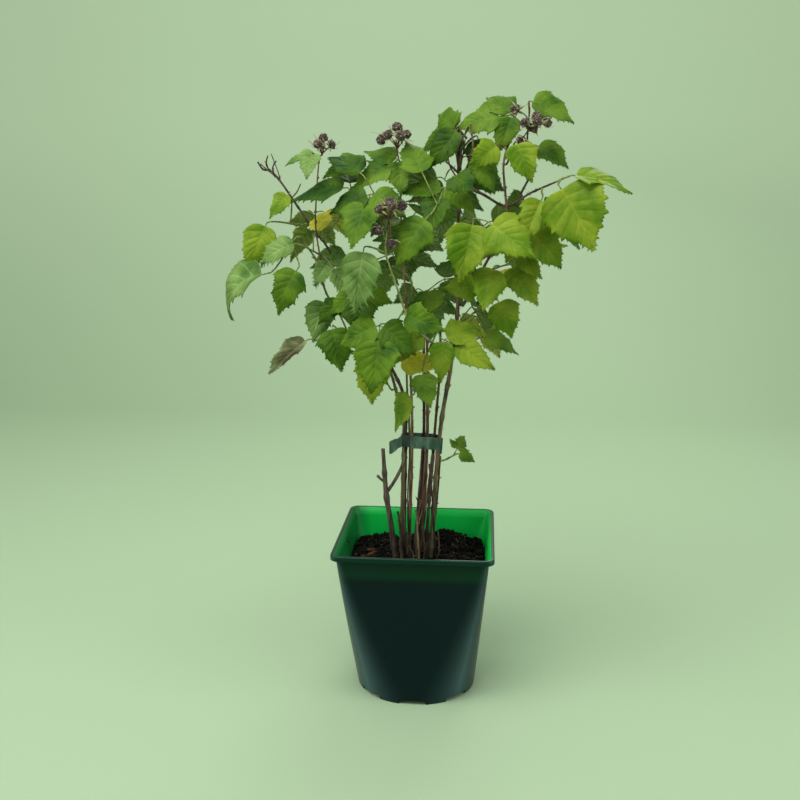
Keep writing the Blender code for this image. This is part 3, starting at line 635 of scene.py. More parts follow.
def add_fibre(heap, draw, number):
    """A bent root fibre just above the bed, as three-sided sticks set end to end."""
    x, y = squared(draw.uniform(-0.96, 0.96), draw.uniform(-0.96, 0.96), LITTER_HALF)
    heading = draw.uniform(0, 6.3)
    length = draw.uniform(3, 11)
    cos, sin = math.cos(heading), math.sin(heading)
    line = []
    for step in range(4):
        along = (step / 3 - 0.5) * length
        bend = math.sin(step * 1.3 + number) * 0.8
        px, py = x + cos * along - sin * bend, y + sin * along + cos * bend
        if max(abs(px), abs(py)) < LITTER_HALF:
            line.append(np.array((px, py, soil_height(px, py) + 0.9 + 0.5 * bend)))
    for a, b in zip(line, line[1:]):
        side = np.array((sin, -cos, 0)) * draw.uniform(0.15, 0.35)
        ring = [point + edge for point in (a, b) for edge in (side, np.array((0, 0, 0.3)), -side)]
        heap.add(np.array(ring) * MM, (grid_faces(2, 3), 1))


print("crumb sizes from", CRUMB_SIZES[0], "to", CRUMB_SIZES[-1], "mm")

# %% [markdown]
# The bed itself is a grid, so that no gap shows between the crumbs. Two dozen crumb shapes are used over and
# over, each time turned and sized afresh, and all of it is one piece that stands for the plain solid.

# %% Compost
CRUMBS = 3600
FIBRES = 420

draw = random.Random(3)
bed = Heap()
steps = [2 * i / BED_CELLS - 1 for i in range(BED_CELLS + 1)]
sheet = [squared(u, v, BED_HALF) for u in steps for v in steps]
bed.add([(x * MM, y * MM, soil_height(x, y) * MM) for x, y in sheet],
        (grid_faces(BED_CELLS + 1, BED_CELLS + 1, closed=False)[:, ::-1], 0))
shapes = [lump(draw) for _ in range(CRUMB_SHAPES)]
for number in range(CRUMBS):
    add_crumb(bed, draw, shapes[number % CRUMB_SHAPES])
for number in range(FIBRES):
    add_fibre(bed, draw, number)

compost_dark = two_tone("compost_dark", srgb(5, 5, 4), srgb(20, 18, 13), 0.95, 260, 1400, 0.9, shine=0.08)
compost_fibre = two_tone("compost_fibre", srgb(48, 42, 30), srgb(110, 98, 72), 0.9, 200, 900, 0.4, shine=0.1)
compost_chip = two_tone("compost_chip", srgb(32, 21, 14), srgb(76, 48, 30), 0.85, 200, 900, 0.5, shine=0.1)
bed.piece("compost_bed", [compost_dark, compost_fibre, compost_chip], ["soil"], "compost")

# %% [markdown]
# ## How the plant is described
# A sculpted plant would be one long list of points. Canes and boughs are smooth curves instead, through a
# few way points in millimetres, each with a radius at its foot and tip. Prongs are its short forks: where
# each leaves the cane as a share of its length, how thick it is and where it ends. A bough starts on a cane.

# %% Canes and boughs, in millimetres
Cane = namedtuple("Cane", "name foot_radius tip_radius route prongs")
CANES = [
    Cane("cane_tan", 2.3, 1.1,
         [(-9, -5, 0), (-5, -5, 259), (-8, -3, 354), (-15, 0, 448), (-17, -8, 524)], []),
    Cane("cane_right", 2.9, 2.0,
         [(14, -8, 0), (23, -8, 267), (34, -10, 343), (40, -10, 409), (39, -10, 538)],
         [(0.96, 1.0, (45, -8, 560)), (0.985, 0.9, (33, -13, 556))]),
    Cane("cane_slim", 1.7, 1.2, [(8, 12, 0), (17, 8, 263), (22, 10, 334), (22, 12, 372)], []),
    Cane("cane_dark", 2.2, 1.5, [(1, 10, 0), (6, 8, 259), (5, 12, 390)], []),
    Cane("cane_inner", 1.9, 1.3, [(4, 0, 0), (10, 0, 261), (9, 0, 384)], []),
    Cane("cane_green", 1.5, 0.9, [(-8, 6, 0), (-8, 5, 255), (-12, 14, 330), (-8, 28, 410)], []),
    Cane("cane_left", 2.3, 1.3,
         [(-15, 13, 0), (-13, 12, 262), (-14, 12, 300), (-31, 15, 339), (-89, 20, 447),
          (-106, 20, 470), (-138, 20, 517), (-150, 20, 530)],
         [(0.97, 0.9, (-158, 18, 535)), (0.96, 0.8, (-148, 22, 545))]),
    Cane("cane_low_left", 1.9, 0.9,
         [(-17, 0, 0), (-14, 1, 262), (-16, 0, 288), (-34, 0, 346), (-70, 0, 382),
          (-90, 0, 407), (-102, 4, 442), (-116, 5, 462)], []),
    Cane("dead_fork", 2.3, 1.1, [(-21, -10, 0), (-27, -11, 180), (-31, -11, 207), (-34, -11, 254)],
         [(0.6, 1.2, (-10, -13, 247)), (0.7, 0.8, (-40, -12, 226))]),
    Cane("stub_pointed", 1.8, 0.7, [(-14, -16, 0), (-15, -16, 160), (-18, -16, 189)], []),
    Cane("stub_pale", 1.2, 0.6, [(4, -25, 0), (2, -25, 180), (0, -25, 195)], [(0.72, 0.5, (7, -25, 194))]),
]
Bough = namedtuple("Bough", "name on at foot_radius tip_radius route")
BOUGHS = [
    Bough("bough_right", "cane_right", 0.66, 1.5, 0.9,
          [(66, -20, 441), (84, -27, 480), (81, -22, 535), (92, -12, 566)]),
    Bough("bough_long", "cane_right", 0.94, 1.5, 0.9,
          [(62, -14, 506), (85, -15, 495), (106, -28, 507), (128, -43, 517)]),
    Bough("bough_dark", "bough_long", 0.62, 1.1, 0.8,
          [(109, -16, 532), (103, -10, 553), (104, -6, 580)]),
    Bough("bough_front", "cane_right", 0.53, 1.4, 0.8,
          [(20, -26, 362), (-3, -45, 386), (-15, -58, 420), (-24, -63, 448)]),
    Bough("bough_brown", "cane_low_left", 0.88, 0.9, 0.7,
          [(-100, -2, 470), (-99, -5, 500), (-96, -5, 534)]),
]
print(len(CANES), "canes and stubs and", len(BOUGHS), "boughs")

# %% [markdown]
# A spray is one row: what carries it and how far along, where its end leaf sits, and three angles for that
# leaf: turn is its heading in the plane of the blade, tilt is how steep the blade hangs, and face is the side
# that it looks to. Then come the blade's length, its leaflets, how many leaves the spray has, its tint and
# its seed. Fruit gives the number of heads and how far above the tip they stand. Arch and pinch are extra
# droop and fold. The rule that turns rows into leaves draws from the seed, so the plant never changes.

# %% Sprays, in millimetres and degrees
BARE = (0, 0, 0, 0)
Row = namedtuple("Row", "name on at end turn tilt blade parts leaves tint seed fruit face arch pinch",
                 defaults=(BARE, -90, 0, 0))
SPRAYS = [
    # Top right
    Row("spray_top", "bough_dark", 1, (104, -6, 591), -15, 44, 45, 1, 1, "fresh", 11),
    Row("spray_top_back", "bough_dark", 0.62, (112, 18, 552), -32, 40, 38, 1, 1, "fresh", 12),
    Row("spray_top_fruit", "bough_right", 1, (88, -14, 578), -174, 56, 44, 3, 1, "fresh", 13,
        (5, 21, -14, -17)),
    Row("spray_top_hang", "bough_right", 0.8, (92, -34, 553), -72, 68, 38, 1, 2, "yellow_green", 14),
    Row("spray_crown", "cane_right", 0.97, (38, -14, 566), -124, 68, 44, 1, 3, "dark", 15),
    Row("spray_crown_right", "cane_right", 1, (56, 8, 560), -78, 66, 42, 1, 2, "dark", 16),
    # Right
    Row("spray_right", "bough_long", 1, (142, -48, 523), -14, 22, 54, 1, 1, "yellow_green", 21),
    Row("twig_right_hang", "spray_right", 0.3, (130, -56, 514), -58, 68, 64, 1, 1, "yellow_green", 22),
    Row("spray_right_inner", "bough_long", 0.86, (116, -50, 503), -112, 64, 44, 1, 1, "yellow_green", 24),
    Row("spray_right_low", "bough_right", 0.5, (98, -42, 478), -42, 62, 44, 3, 2, "yellow_green", 23),
    # Right of the middle
    Row("spray_mid_right", "bough_right", 0.25, (90, -30, 441), -60, 62, 44, 1, 2, "yellow_green", 31),
    Row("twig_mid_inner", "spray_mid_right", 0.6, (74, -40, 440), -108, 60, 42, 1, 1, "yellow_green", 32),
    Row("spray_mid_low", "cane_right", 0.62, (78, -22, 407), -64, 62, 38, 1, 3, "yellow_green", 33),
    Row("spray_low_right", "cane_right", 0.55, (64, -20, 371), -16, 50, 38, 1, 2, "fresh", 34),
    Row("spray_front_right", "cane_right", 0.86, (54, -48, 482), -100, 66, 55, 1, 2, "yellow_green", 35),
    Row("spray_front_low", "cane_slim", 1, (28, -36, 370), -28, 58, 46, 3, 2, "yellow_green", 36),
    Row("twig_below", "spray_front_low", 0.6, (8, -46, 340), -80, 62, 34, 1, 2, "fresh", 49),
    # Middle
    Row("spray_arch", "cane_right", 0.93, (26, -26, 512), -106, 46, 46, 3, 3, "dark", 41),
    Row("twig_middle", "spray_arch", 0.7, (12, -54, 486), -125, 64, 52, 1, 2, "dark", 42),
    Row("spray_left_long", "cane_left", 0.8, (-64, -34, 512), 176, 32, 58, 1, 4, "dark", 65),
    Row("spray_round", "cane_tan", 0.9, (-42, -40, 506), -112, 60, 48, 3, 3, "dark", 43),
    Row("spray_front_fruit", "bough_front", 1, (-24, -60, 476), 75, 50, 30, 1, 1, "pale", 45, (6, 2, -6, 10)),
    Row("twig_hero", "spray_front_fruit", 0.2, (-46, -58, 458), -98, 72, 60, 1, 1, "pale", 44),
    Row("spray_inner_left", "cane_low_left", 0.72, (-58, -22, 414), -80, 60, 40, 3, 2, "dark", 46),
    Row("spray_low_middle", "bough_front", 0.46, (-32, -56, 386), -92, 66, 52, 3, 3, "dark", 47),
    Row("spray_cross", "cane_inner", 1, (28, -18, 404), 172, 40, 38, 1, 2, "dark", 48),
    Row("spray_pale_low", "cane_tan", 0.46, (-2, -40, 316), -122, 70, 46, 1, 1, "pale", 50, face=-135),
    Row("spray_low_left", "cane_low_left", 0.5, (-42, -18, 346), -95, 62, 42, 1, 2, "yellow_green", 51),
    Row("spray_top_middle", "cane_tan", 1, (-18, -14, 538), -140, 56, 42, 3, 2, "fresh", 53, (6, -2, 0, 14)),
    Row("twig_left_bright", "spray_top_middle", 0.4, (-54, -2, 538), -155, 45, 40, 1, 1, "fresh", 66),
    # Left
    Row("spray_left_edge", "cane_left", 0.85, (-150, 2, 478), -110, 66, 48, 1, 1, "yellow_green", 61),
    Row("twig_left_top", "spray_left_edge", 0.4, (-128, 8, 506), -130, 55, 30, 1, 1, "yellow_green", 64),
    Row("spray_far_left", "cane_low_left", 1, (-147, -16, 430), -166, 26, 72, 1, 1, "pale", 62,
        arch=66, pinch=14),
    Row("twig_left_dark", "spray_far_left", 0.3, (-115, -22, 436), -118, 62, 48, 1, 1, "dark", 63),
    Row("spray_left_middle", "cane_left", 0.75, (-118, -12, 459), -160, 50, 40, 1, 3, "pale", 67),
    Row("spray_left_low", "cane_low_left", 0.58, (-82, -24, 380), -75, 62, 44, 1, 2, "dark", 70),
    Row("twig_left_hang", "spray_left_low", 0.5, (-90, -10, 404), -112, 66, 42, 1, 1, "pale", 68),
    Row("spray_withered", "cane_low_left", 0.62, (-107, -18, 366), -138, 52, 50, 1, 1, "withered", 69,
        arch=12, pinch=32),
    Row("spray_left_fruit", "bough_brown", 1, (-98, -5, 541), 176, 26, 32, 1, 2, "pale", 71, (4, 7, -4, 3)),
    # Back
    Row("spray_back_top", "cane_right", 0.9, (26, 44, 512), -80, 58, 48, 3, 3, "dark", 91, face=90),
    Row("spray_back_right", "cane_right", 0.78, (84, 76, 468), -110, 58, 48, 3, 3, "fresh", 92, face=60),
    Row("spray_back_far_right", "bough_long", 0.55, (122, 36, 492), -130, 56, 44, 3, 2, "fresh", 93, face=50),
    Row("spray_back_middle", "cane_tan", 0.8, (-14, 84, 468), -90, 60, 48, 3, 3, "dark", 94, face=95),
    Row("spray_back_left", "cane_left", 0.7, (-54, 96, 432), -70, 58, 46, 3, 3, "dark", 95, face=110),
    Row("spray_back_far_left", "cane_left", 0.88, (-112, 68, 478), -60, 56, 42, 3, 2, "yellow_green", 96,
        face=120),
    Row("spray_back_low", "cane_dark", 1, (6, 74, 396), -90, 60, 44, 3, 3, "dark", 97, face=85),
    Row("spray_back_low_right", "cane_slim", 0.9, (56, 66, 380), -110, 58, 42, 3, 2, "fresh", 98, face=60),
    Row("spray_back_green", "cane_green", 1, (-36, 76, 430), -60, 60, 42, 3, 2, "fresh", 99, face=100),
    # Low sprig at the tie
    Row("sprig_low", "cane_right", 0.265, (42, -16, 252), -18, 50, 18, 1, 2, "fresh", 81),
]
print(len(SPRAYS), "rows of foliage")

# %% [markdown]
# ## Curves and limbs
# A limb is a path with a radius at each point. The same route can be sampled coarsely, to test what touches
# what, or finely, for the mesh that shows.

# %% Curves
GAP = 0.3 * MM
CANE_STEP = 45
BOUGH_STEP = 25
FLARE = 1.25
FLARE_HEIGHT = 9
Limb = namedtuple("Limb", "path radii")


def smooth_path(route, spacing):
    """Points spaced along a smooth curve through the route."""
    ends = [route[0] * 2 - route[1], *route, route[-1] * 2 - route[-2]]
    path = [route[0]]
    for a, b, c, d in zip(ends, ends[1:], ends[2:], ends[3:]):
        steps = max(1, round((c - b).length / spacing))
        for step in range(1, steps + 1):
            t = step / steps
            path.append((b * 2 + (c - a) * t + (a * 2 - b * 5 + c * 4 - d) * t ** 2
                         + (b * 3 - a - c * 3 + d) * t ** 3) / 2)
    return path


def lengths_along(path):
    """How far each point is along the path."""
    total = [0]
    for a, b in zip(path, path[1:]):
        total.append(total[-1] + (b - a).length)
    return total


def taper(path, foot_radius, tip_radius, flare=1.0):
    """A radius for each point of the path, falling evenly, with a flare at the foot."""
    total = lengths_along(path)
    radii = []
    for distance in total:
        radius = foot_radius + (tip_radius - foot_radius) * distance / total[-1]
        radii.append(radius * (1 + (flare - 1) * max(0, 1 - distance / (FLARE_HEIGHT * MM))))
    return radii


print("a 100 mm path tapers", taper([UP * 0, UP * 0.05, UP * 0.1], 2, 1))

# %% [markdown]
# A shoot needs a foot: a point on the bark of what carries it, on the side that faces where it goes. A twig
# that leaves another twig starts inside it instead, since the two are fused.

# %% Places on a limb
def place_on(limb, share):
    """(point, direction, radius) at this share of the limb's length."""
    total = lengths_along(limb.path)
    want = share * total[-1]
    for i in range(1, len(total)):
        if total[i] >= want - 1e-9:
            break
    t = (want - total[i - 1]) / (total[i] - total[i - 1])
    point = limb.path[i - 1].lerp(limb.path[i], t)
    direction = (limb.path[i] - limb.path[i - 1]).normalized()
    return point, direction, limb.radii[i - 1] + (limb.radii[i] - limb.radii[i - 1]) * t


def foot_on(limb, share, target, sunk=False):
    """Foot point and outward direction of a shoot that leaves the limb towards the target."""
    point, direction, radius = place_on(limb, share)
    if sunk:
        return point, (target - point).normalized()
    if share >= 1:
        return point + direction * GAP, direction
    out = target - point
    out = (out - direction * out.dot(direction)).normalized()
    return point + out * (radius + GAP), out


print("coarse points on the first cane:", len(smooth_path([Vector(p) for p in CANES[0].route], CANE_STEP)))

# %% [markdown]
# Every cane starts just above the compost, a little flared at its foot. A bough leaves its carrier at a
# right angle to the bark, so that no bough starts inside a cane, and then follows its own way points.

# %% Canes and boughs as coarse and fine limbs
def cane_limb(cane, spacing):
    """The cane from the compost up, with a point where its flare ends."""
    route = [Vector(p) * MM for p in cane.route]
    route[0].z = SOIL_TOP * MM + GAP
    path = smooth_path(route, spacing * MM)
    if spacing > FLARE_HEIGHT:
        path.insert(1, path[0].lerp(path[1], FLARE_HEIGHT * MM / (path[1] - path[0]).length))
    return Limb(path, taper(path, cane.foot_radius * MM, cane.tip_radius * MM, FLARE))


def bough_limb(bough, limbs, spacing):
    """The bough from the bark of its carrier outwards."""
    route = [Vector(p) * MM for p in bough.route]
    foot, out = foot_on(limbs[bough.on], bough.at, route[0])
    start = foot + out * 2.5 * bough.foot_radius * MM
    path = [foot] + smooth_path([start] + route, spacing * MM)
    return Limb(path, taper(path, bough.foot_radius * MM, bough.tip_radius * MM))


limbs = {cane.name: cane_limb(cane, CANE_STEP) for cane in CANES}
for bough in BOUGHS:
    limbs[bough.name] = bough_limb(bough, limbs, BOUGH_STEP)
print("longest cane:", round(max(lengths_along(limb.path)[-1] for limb in limbs.values()) * 1000), "mm")

# %% [markdown]
# ## Growing the sprays
# A leaflet is a blade that droops and folds. Each leaf is first tried as a coarse, slightly fat shape: where
# that touches a cane, a fruit or an earlier leaf, the leaf is drawn again or left out. This is the rule that
# the solids were grown by, with the same seeds, so the fine leaves fall exactly where the coarse ones are.

# %% Sizes for the growing rule
BERRY_RADIUS = 5.2
BERRY_REACH = (12, 16)
BLADE_WIDTH = 0.72
BLADE_EDGE = ((0.18, 0.84), (0.55, 0.86))
BLADE_RIB = 0.42
BLADE_DROOP = (14, 42)
BLADE_FOLD = (6, 18)
SIDE_BLADE = 0.84
SIDE_ANGLE = 64
END_STALK = 0.26
LONE_STALK = 0.05
STALK_RADIUS = 0.75
STALK_GUARD = 0.7
LIMB_GUARD = 0.5
BERRY_GUARD = 0.6
GUARD = 1.4
TRIES = 10
STRAY = 3
TWIG_STEP = 22
TWIG_FOOT = 1.15
SIDE_TWIG_FOOT = 0.95
TWIG_TIP = 0.85
CANE_SIDES = 7
TWIG_SIDES = 3

Blade = namedtuple("Blade", "base heading face length droop fold")
Leaf = namedtuple("Leaf", "bend blades")
Spray = namedtuple("Spray", "row draw stem bend leaves fruit trees")
print("each leaf is tried up to", TRIES, "times, with", GUARD, "mm of room round it")

# %% [markdown]
# Asking whether two fine meshes touch takes long, so the test uses coarse ones: a tube with a few sides for
# a stem, a flat kite for a blade and a small drum for a fruit.

# %% Coarse shapes for the touch test
def ring_tube(path, radii, sides):
    """A coarse tapering tube, as (points, faces)."""
    side = Vector((0.31, 0.83, 0.47))
    points = []
    for i, (point, radius) in enumerate(zip(path, radii)):
        along = (path[min(i + 1, len(path) - 1)] - path[max(i - 1, 0)]).normalized()
        side = (side - along * side.dot(along)).normalized()
        other = along.cross(side)
        for k in range(sides):
            angle = 2 * math.pi * k / sides
            points.append(point + (side * math.cos(angle) + other * math.sin(angle)) * radius)
    faces = grid_faces(len(path), sides).tolist()
    return points, [list(reversed(range(sides)))] + faces + [list(range(len(points) - sides, len(points)))]


def on_blade(blade, along, across, lift):
    """The point of the drooping, folded blade that lies this far along, across and above it when flat."""
    angle = blade.droop * along / blade.length
    reach = blade.length / blade.droop
    rib = blade.base + blade.heading * reach * math.sin(angle) - blade.face * reach * (1 - math.cos(angle))
    normal = blade.face * math.cos(angle) + blade.heading * math.sin(angle)
    side = blade.face.cross(blade.heading)
    return rib + side * across * math.cos(blade.fold) + normal * (lift + abs(across) * math.sin(blade.fold))


def coarse_blade(blade, thick, spread):
    """A kite along the drooping, folded blade, so thick and spread wider all round."""
    half = blade.length * BLADE_WIDTH / 2
    edge = [(share * blade.length, width * half + spread) for share, width in BLADE_EDGE]
    outline = [(-spread, 0)] + [(along, -across) for along, across in edge]
    outline += [(blade.length + spread, 0)] + [(along, across) for along, across in reversed(edge)]
    points = [on_blade(blade, along, across, 0) for along, across in outline]
    count = len(points)
    points += [on_blade(blade, BLADE_RIB * blade.length, 0, lift) for lift in (thick / 2, -thick / 2)]
    top = [(i, (i + 1) % count, count) for i in range(count)]
    return points, top + [((i + 1) % count, i, count + 1) for i in range(count)]


def coarse_berry(centre, axis, radius, sides=5):
    """A small drum round a fruit."""
    side = axis.orthogonal().normalized()
    other = axis.cross(side)
    points = []
    for height, width in ((-0.8, 0.45), (-0.1, 1.0), (0.75, 0.5)):
        for k in range(sides):
            angle = 2 * math.pi * k / sides
            points.append(centre + axis * height * radius
                          + (side * math.cos(angle) + other * math.sin(angle)) * radius * width)
    faces = grid_faces(3, sides).tolist()
    return points, [list(reversed(range(sides)))] + faces + [list(range(2 * sides, 3 * sides))]


flat_blade = Blade(Vector((0, 0, 0)), Vector((1, 0, 0)), UP, 50 * MM, 0.3, 0.1)
print("a coarse blade has", len(coarse_blade(flat_blade, MM, 0)[1]), "faces")

# %% [markdown]
# A BVH tree sorts the faces of a shape into nested boxes, and two trees can say at once whether any of their
# faces cross. A guard is a slightly fattened copy of a shape, so that what clears it keeps a little room.

# %% The touch test
def search_tree(shapes):
    """One tree of nested boxes for all the faces of these (points, faces)."""
    points = []
    faces = []
    for shape in shapes:
        first = len(points)
        points += shape[0]
        faces += [tuple(first + i for i in face) for face in shape[1]]
    return BVHTree.FromPolygons(points, faces)


def limb_guard(limb, sides):
    """A slightly fattened copy of the limb, as a search tree."""
    return search_tree([ring_tube(limb.path, [r + LIMB_GUARD * MM for r in limb.radii], sides)])


def touches(tree, others):
    """Whether any face of the tree crosses a face of the others."""
    return any(tree.overlap(other) for other in others)


print("a blade touches itself:", touches(search_tree([coarse_blade(flat_blade, MM, 0)]),
                                         [search_tree([coarse_blade(flat_blade, MM, 0)])]))

# %% [markdown]
# A leaf is one leaflet or three, at the end of a stalk. The first leaf carries on from the tip of its stem,
# the others leave the stem on alternate sides and rise before they droop. Everything that varies from leaf
# to leaf is drawn from the spray's own seed, always in the same order.

# %% Blades of a leaf
def blade_frame(turn, tilt, face):
    """(heading, face) vectors of a blade from its three angles in degrees."""
    turn, tilt, face = (math.radians(angle) for angle in (turn, tilt, face))
    normal = Vector((math.cos(face) * math.sin(tilt), math.sin(face) * math.sin(tilt), math.cos(tilt)))
    level = Vector((-math.sin(face), math.cos(face), 0))
    return level * math.cos(turn) + normal.cross(level) * math.sin(turn), normal


def bent_path(start, leaving, end, arriving, steps, pull=0.38):
    """A curve from start to end with the direction at each given, and how far each holds as a share."""
    hold = (end - start).length * pull
    handles = [start, start + leaving * hold, end - arriving * hold, end]
    path = []
    for step in range(steps + 1):
        parts = handles
        while len(parts) > 1:
            parts = [a.lerp(b, step / steps) for a, b in zip(parts, parts[1:])]
        path.append(parts[0])
    return path


def leaf_blades(draw, row, node, heading, face, length, parts):
    """The end leaflet, or the end leaflet and a pair at its foot."""
    droop = math.radians(draw.uniform(*BLADE_DROOP) + row.arch)
    fold = math.radians(draw.uniform(*BLADE_FOLD) + row.pinch)
    stalk = END_STALK * length if parts > 1 else LONE_STALK * length
    blades = [Blade(node + heading * stalk, heading, face, length, droop, fold)]
    if parts > 1:
        for sign in (-1, 1):
            angle = math.radians(SIDE_ANGLE + draw.uniform(-8, 10))
            turned = Matrix.Rotation(sign * angle, 3, face) @ heading
            size = length * SIDE_BLADE * draw.uniform(0.9, 1.05)
            blades.append(Blade(node + turned * 0.06 * size, turned, face, size, droop, fold))
    return blades


print("the first end leaf looks towards", *(round(value, 2) for value in blade_frame(-15, 44, -90)[1]))

# %% [markdown]
# Now the parts of a spray: its stem, bent from the carrier to its end leaf, its side leaves on stalks, and
# the heads of fruit. A side leaf is picked at random and may be refused by the touch test, so it is a
# function that can be asked again.

# %% Stems, leaves and fruit of a spray
def leaf_guard(leaf, with_stalk=True):
    """A slightly fattened copy of the leaf, as a search tree."""
    shapes = [coarse_blade(blade, 2 * GUARD * MM, GUARD * MM) for blade in leaf.blades]
    if with_stalk and leaf.bend:
        fat = (STALK_RADIUS + STALK_GUARD) * MM
        shapes.append(ring_tube(bent_path(*leaf.bend, 2), [fat] * 3, TWIG_SIDES))
    return search_tree(shapes)


def side_leaf(draw, row, stem, number):
    """A leaf on its own stalk from the side of the stem, on alternate sides."""
    share = 0.35 + 0.5 * (number + draw.random()) / max(1, row.leaves - 1)
    start, direction, _ = place_on(stem, min(share, 0.92))
    side = 1 if (number + row.seed) % 2 else -1
    turn = row.turn + side * draw.uniform(55, 125)
    heading, face = blade_frame(turn, row.tilt + draw.uniform(-18, 12), row.face + draw.uniform(-40, 40))
    length = row.blade * draw.uniform(0.75, 1.0) * MM
    rising = (heading * 0.8 + UP * draw.uniform(0.2, 0.7) + direction * 0.3).normalized()
    node = start + rising * length * draw.uniform(0.4, 0.65)
    parts = 3 if draw.random() < 0.55 else 1
    return Leaf((start, rising, node, heading), leaf_blades(draw, row, node, heading, face, length, parts))


def end_leaf(draw, row, stem, stray):
    """The leaf that carries on from the tip of the stem, up to so many degrees off its own angles."""
    turn = row.turn + draw.uniform(-stray, stray)
    heading, face = blade_frame(turn, row.tilt + draw.uniform(-stray, stray), row.face)
    return Leaf((), leaf_blades(draw, row, stem.path[-1], heading, face, row.blade * MM, row.parts))


def grow_stem(row, sprays):
    """The stem from its carrier to the node of its end leaf, with the bend that it follows."""
    end = Vector(row.end) * MM
    carrier = sprays[row.on].stem if row.on in sprays else limbs[row.on]
    foot, out = foot_on(carrier, row.at, end, row.on in sprays)
    heading, _ = blade_frame(row.turn, row.tilt, row.face)
    start = foot + out * 2.2 * MM
    bend = (start, (out + UP * 0.3).normalized(), end, (heading + UP * 0.5).normalized())
    path = [foot] + bent_path(*bend, max(2, round((end - start).length / (TWIG_STEP * MM))))
    foot_radius = SIDE_TWIG_FOOT if row.on in sprays else TWIG_FOOT
    return Limb(path, taper(path, foot_radius * MM, TWIG_TIP * MM)), bend


def berries(draw, row, stem):
    """(stalk, centre, axis) for each fruit: one on top of the cluster's stalk and a ring round it."""
    count, *offset = row.fruit
    rise = Vector(offset) * MM
    top = stem.path[-1] + rise
    made = []
    for number in range(count):
        around = 2 * math.pi * number / max(1, count - 1) + draw.uniform(-0.2, 0.2)
        lean = draw.uniform(1.0, 1.6) if number else 0.05
        out = Vector((math.cos(around) * lean, math.sin(around) * lean, 1)).normalized()
        centre = top + out * draw.uniform(*BERRY_REACH) * MM
        start = top - rise * 0.07 * number - out * 0.3 * MM
        path = [start, centre] if number else [stem.path[-1].lerp(stem.path[-2], 0.15), top, centre]
        made.append((path, centre, out))
    return made


print("rows with fruit:", sum(row.fruit[0] > 0 for row in SPRAYS))

# %% [markdown]
# Now the rows grow. First every spray gets its stem, its fruit and its end leaf, which the photograph
# places. Only then do the side leaves come, so that none of them takes the room of an end leaf.

# %% The growing rule
def add_leaf(spray, leaf, taken, stems):
    """Keeps the leaf where it clears what is taken, and its blades clear the spray's own stem too."""
    tree = leaf_guard(leaf)
    if touches(tree, taken) or touches(leaf_guard(leaf, with_stalk=False), stems):
        return False
    spray.leaves.append(leaf)
    spray.trees.append(tree)
    return True


def grow_spray(row, sprays, taken):
    """The spray's stem with its fruit and its end leaf, unless that leaf touches what is taken."""
    draw = random.Random(row.seed)
    stem, bend = grow_stem(row, sprays)
    fruit = berries(draw, row, stem)
    spray = Spray(row, draw, stem, bend, [], fruit, [])
    if fruit:
        fat = (BERRY_RADIUS + BERRY_GUARD) * MM
        spray.trees.append(search_tree([coarse_berry(centre, axis, fat) for _, centre, axis in fruit]))
    for number in range(TRIES):
        if add_leaf(spray, end_leaf(draw, row, stem, STRAY * number), taken + spray.trees, []):
            break
    spray.trees.append(limb_guard(stem, TWIG_SIDES))
    return spray


def add_side_leaves(spray, taken):
    """The spray's other leaves, each drawn again a few times where it would touch, then skipped."""
    own_stem = spray.trees[-1]
    clear = [tree for tree in taken if tree is not own_stem]
    for number in range(spray.row.leaves - 1):
        for _ in range(TRIES):
            if add_leaf(spray, side_leaf(spray.draw, spray.row, spray.stem, number), clear, [own_stem]):
                clear.append(spray.trees[-1])
                taken.append(spray.trees[-1])
                break


taken = [limb_guard(limb, CANE_SIDES) for limb in limbs.values()]
sprays = {}
for row in SPRAYS:
    sprays[row.name] = grow_spray(row, sprays, taken)
    taken += sprays[row.name].trees
for spray in sprays.values():
    add_side_leaves(spray, taken)
print("leaflets:", sum(len(leaf.blades) for spray in sprays.values() for leaf in spray.leaves))

# %% [markdown]
# ## One leaflet
# A raspberry leaflet is an egg-shaped blade with a drawn-out tip, eight or so pairs of side veins sunk
# between puckered strips, and a saw edge with one large tooth at each vein and small ones between. A picture
# of a leaf on a flat card would be quick, but it has no edge and no folds. Here rows of points follow the
# veins from the midrib to the edge, so the veins, the pleats and the teeth are all real shape, on both sides
# of a thin sheet.

# %% Leaflet plan
HALF_WIDTH = 0.365
VEIN_FIRST = 0.03
VEIN_STEP = 0.12
VEINS = 8
VEIN_HALF = 0.06
# How far the edge stands out on the rows between one vein and the next: a big tooth, then three small ones.
TOOTH = {-VEIN_HALF: 1.0, VEIN_HALF: 1.0, 0.17: 0.0, 0.33: 0.5, 0.42: 0.0, 0.58: 0.55, 0.68: 0.05, 0.82: 0.6}
TOOTH_OUT = 0.052
TOOTH_FORWARD = 0.040
COLUMNS = (0.0, 0.14, 0.32, 0.52, 0.72, 0.88, 1.0)
OUTLINE = ((0, 0), (0.03, 0.36), (0.10, 0.73), (0.19, 0.95), (0.29, 1.0), (0.43, 0.93), (0.58, 0.74),
           (0.71, 0.50), (0.82, 0.27), (0.91, 0.12), (1.0, 0.0))
RIB = 0.008
PLEAT = 0.022
FOOT_SWEEP = 0.055
LEAF_THICK = 0.32


def half_width(t, lobe, shift):
    """The blade's half width as a share of its length, at this share along it, with shallow lobes."""
    shares, widths = zip(*OUTLINE)
    swing = 1 + lobe * math.cos(2 * math.pi * (2.1 * t + shift)) * math.sin(math.pi * t)
    return HALF_WIDTH * float(np.interp(t, shares, widths)) * swing


def tooth_at(phase, bite, column, t, ragged):
    """How far a tooth stands out here: only near the edge, less towards the tip, torn on a ragged leaf."""
    tooth = TOOTH[phase] * bite * column ** 5 * (1 - 0.5 * t)
    return tooth * (1 + ragged * max(0, t - 0.3) * (1 if tooth > 0 else -0.5))


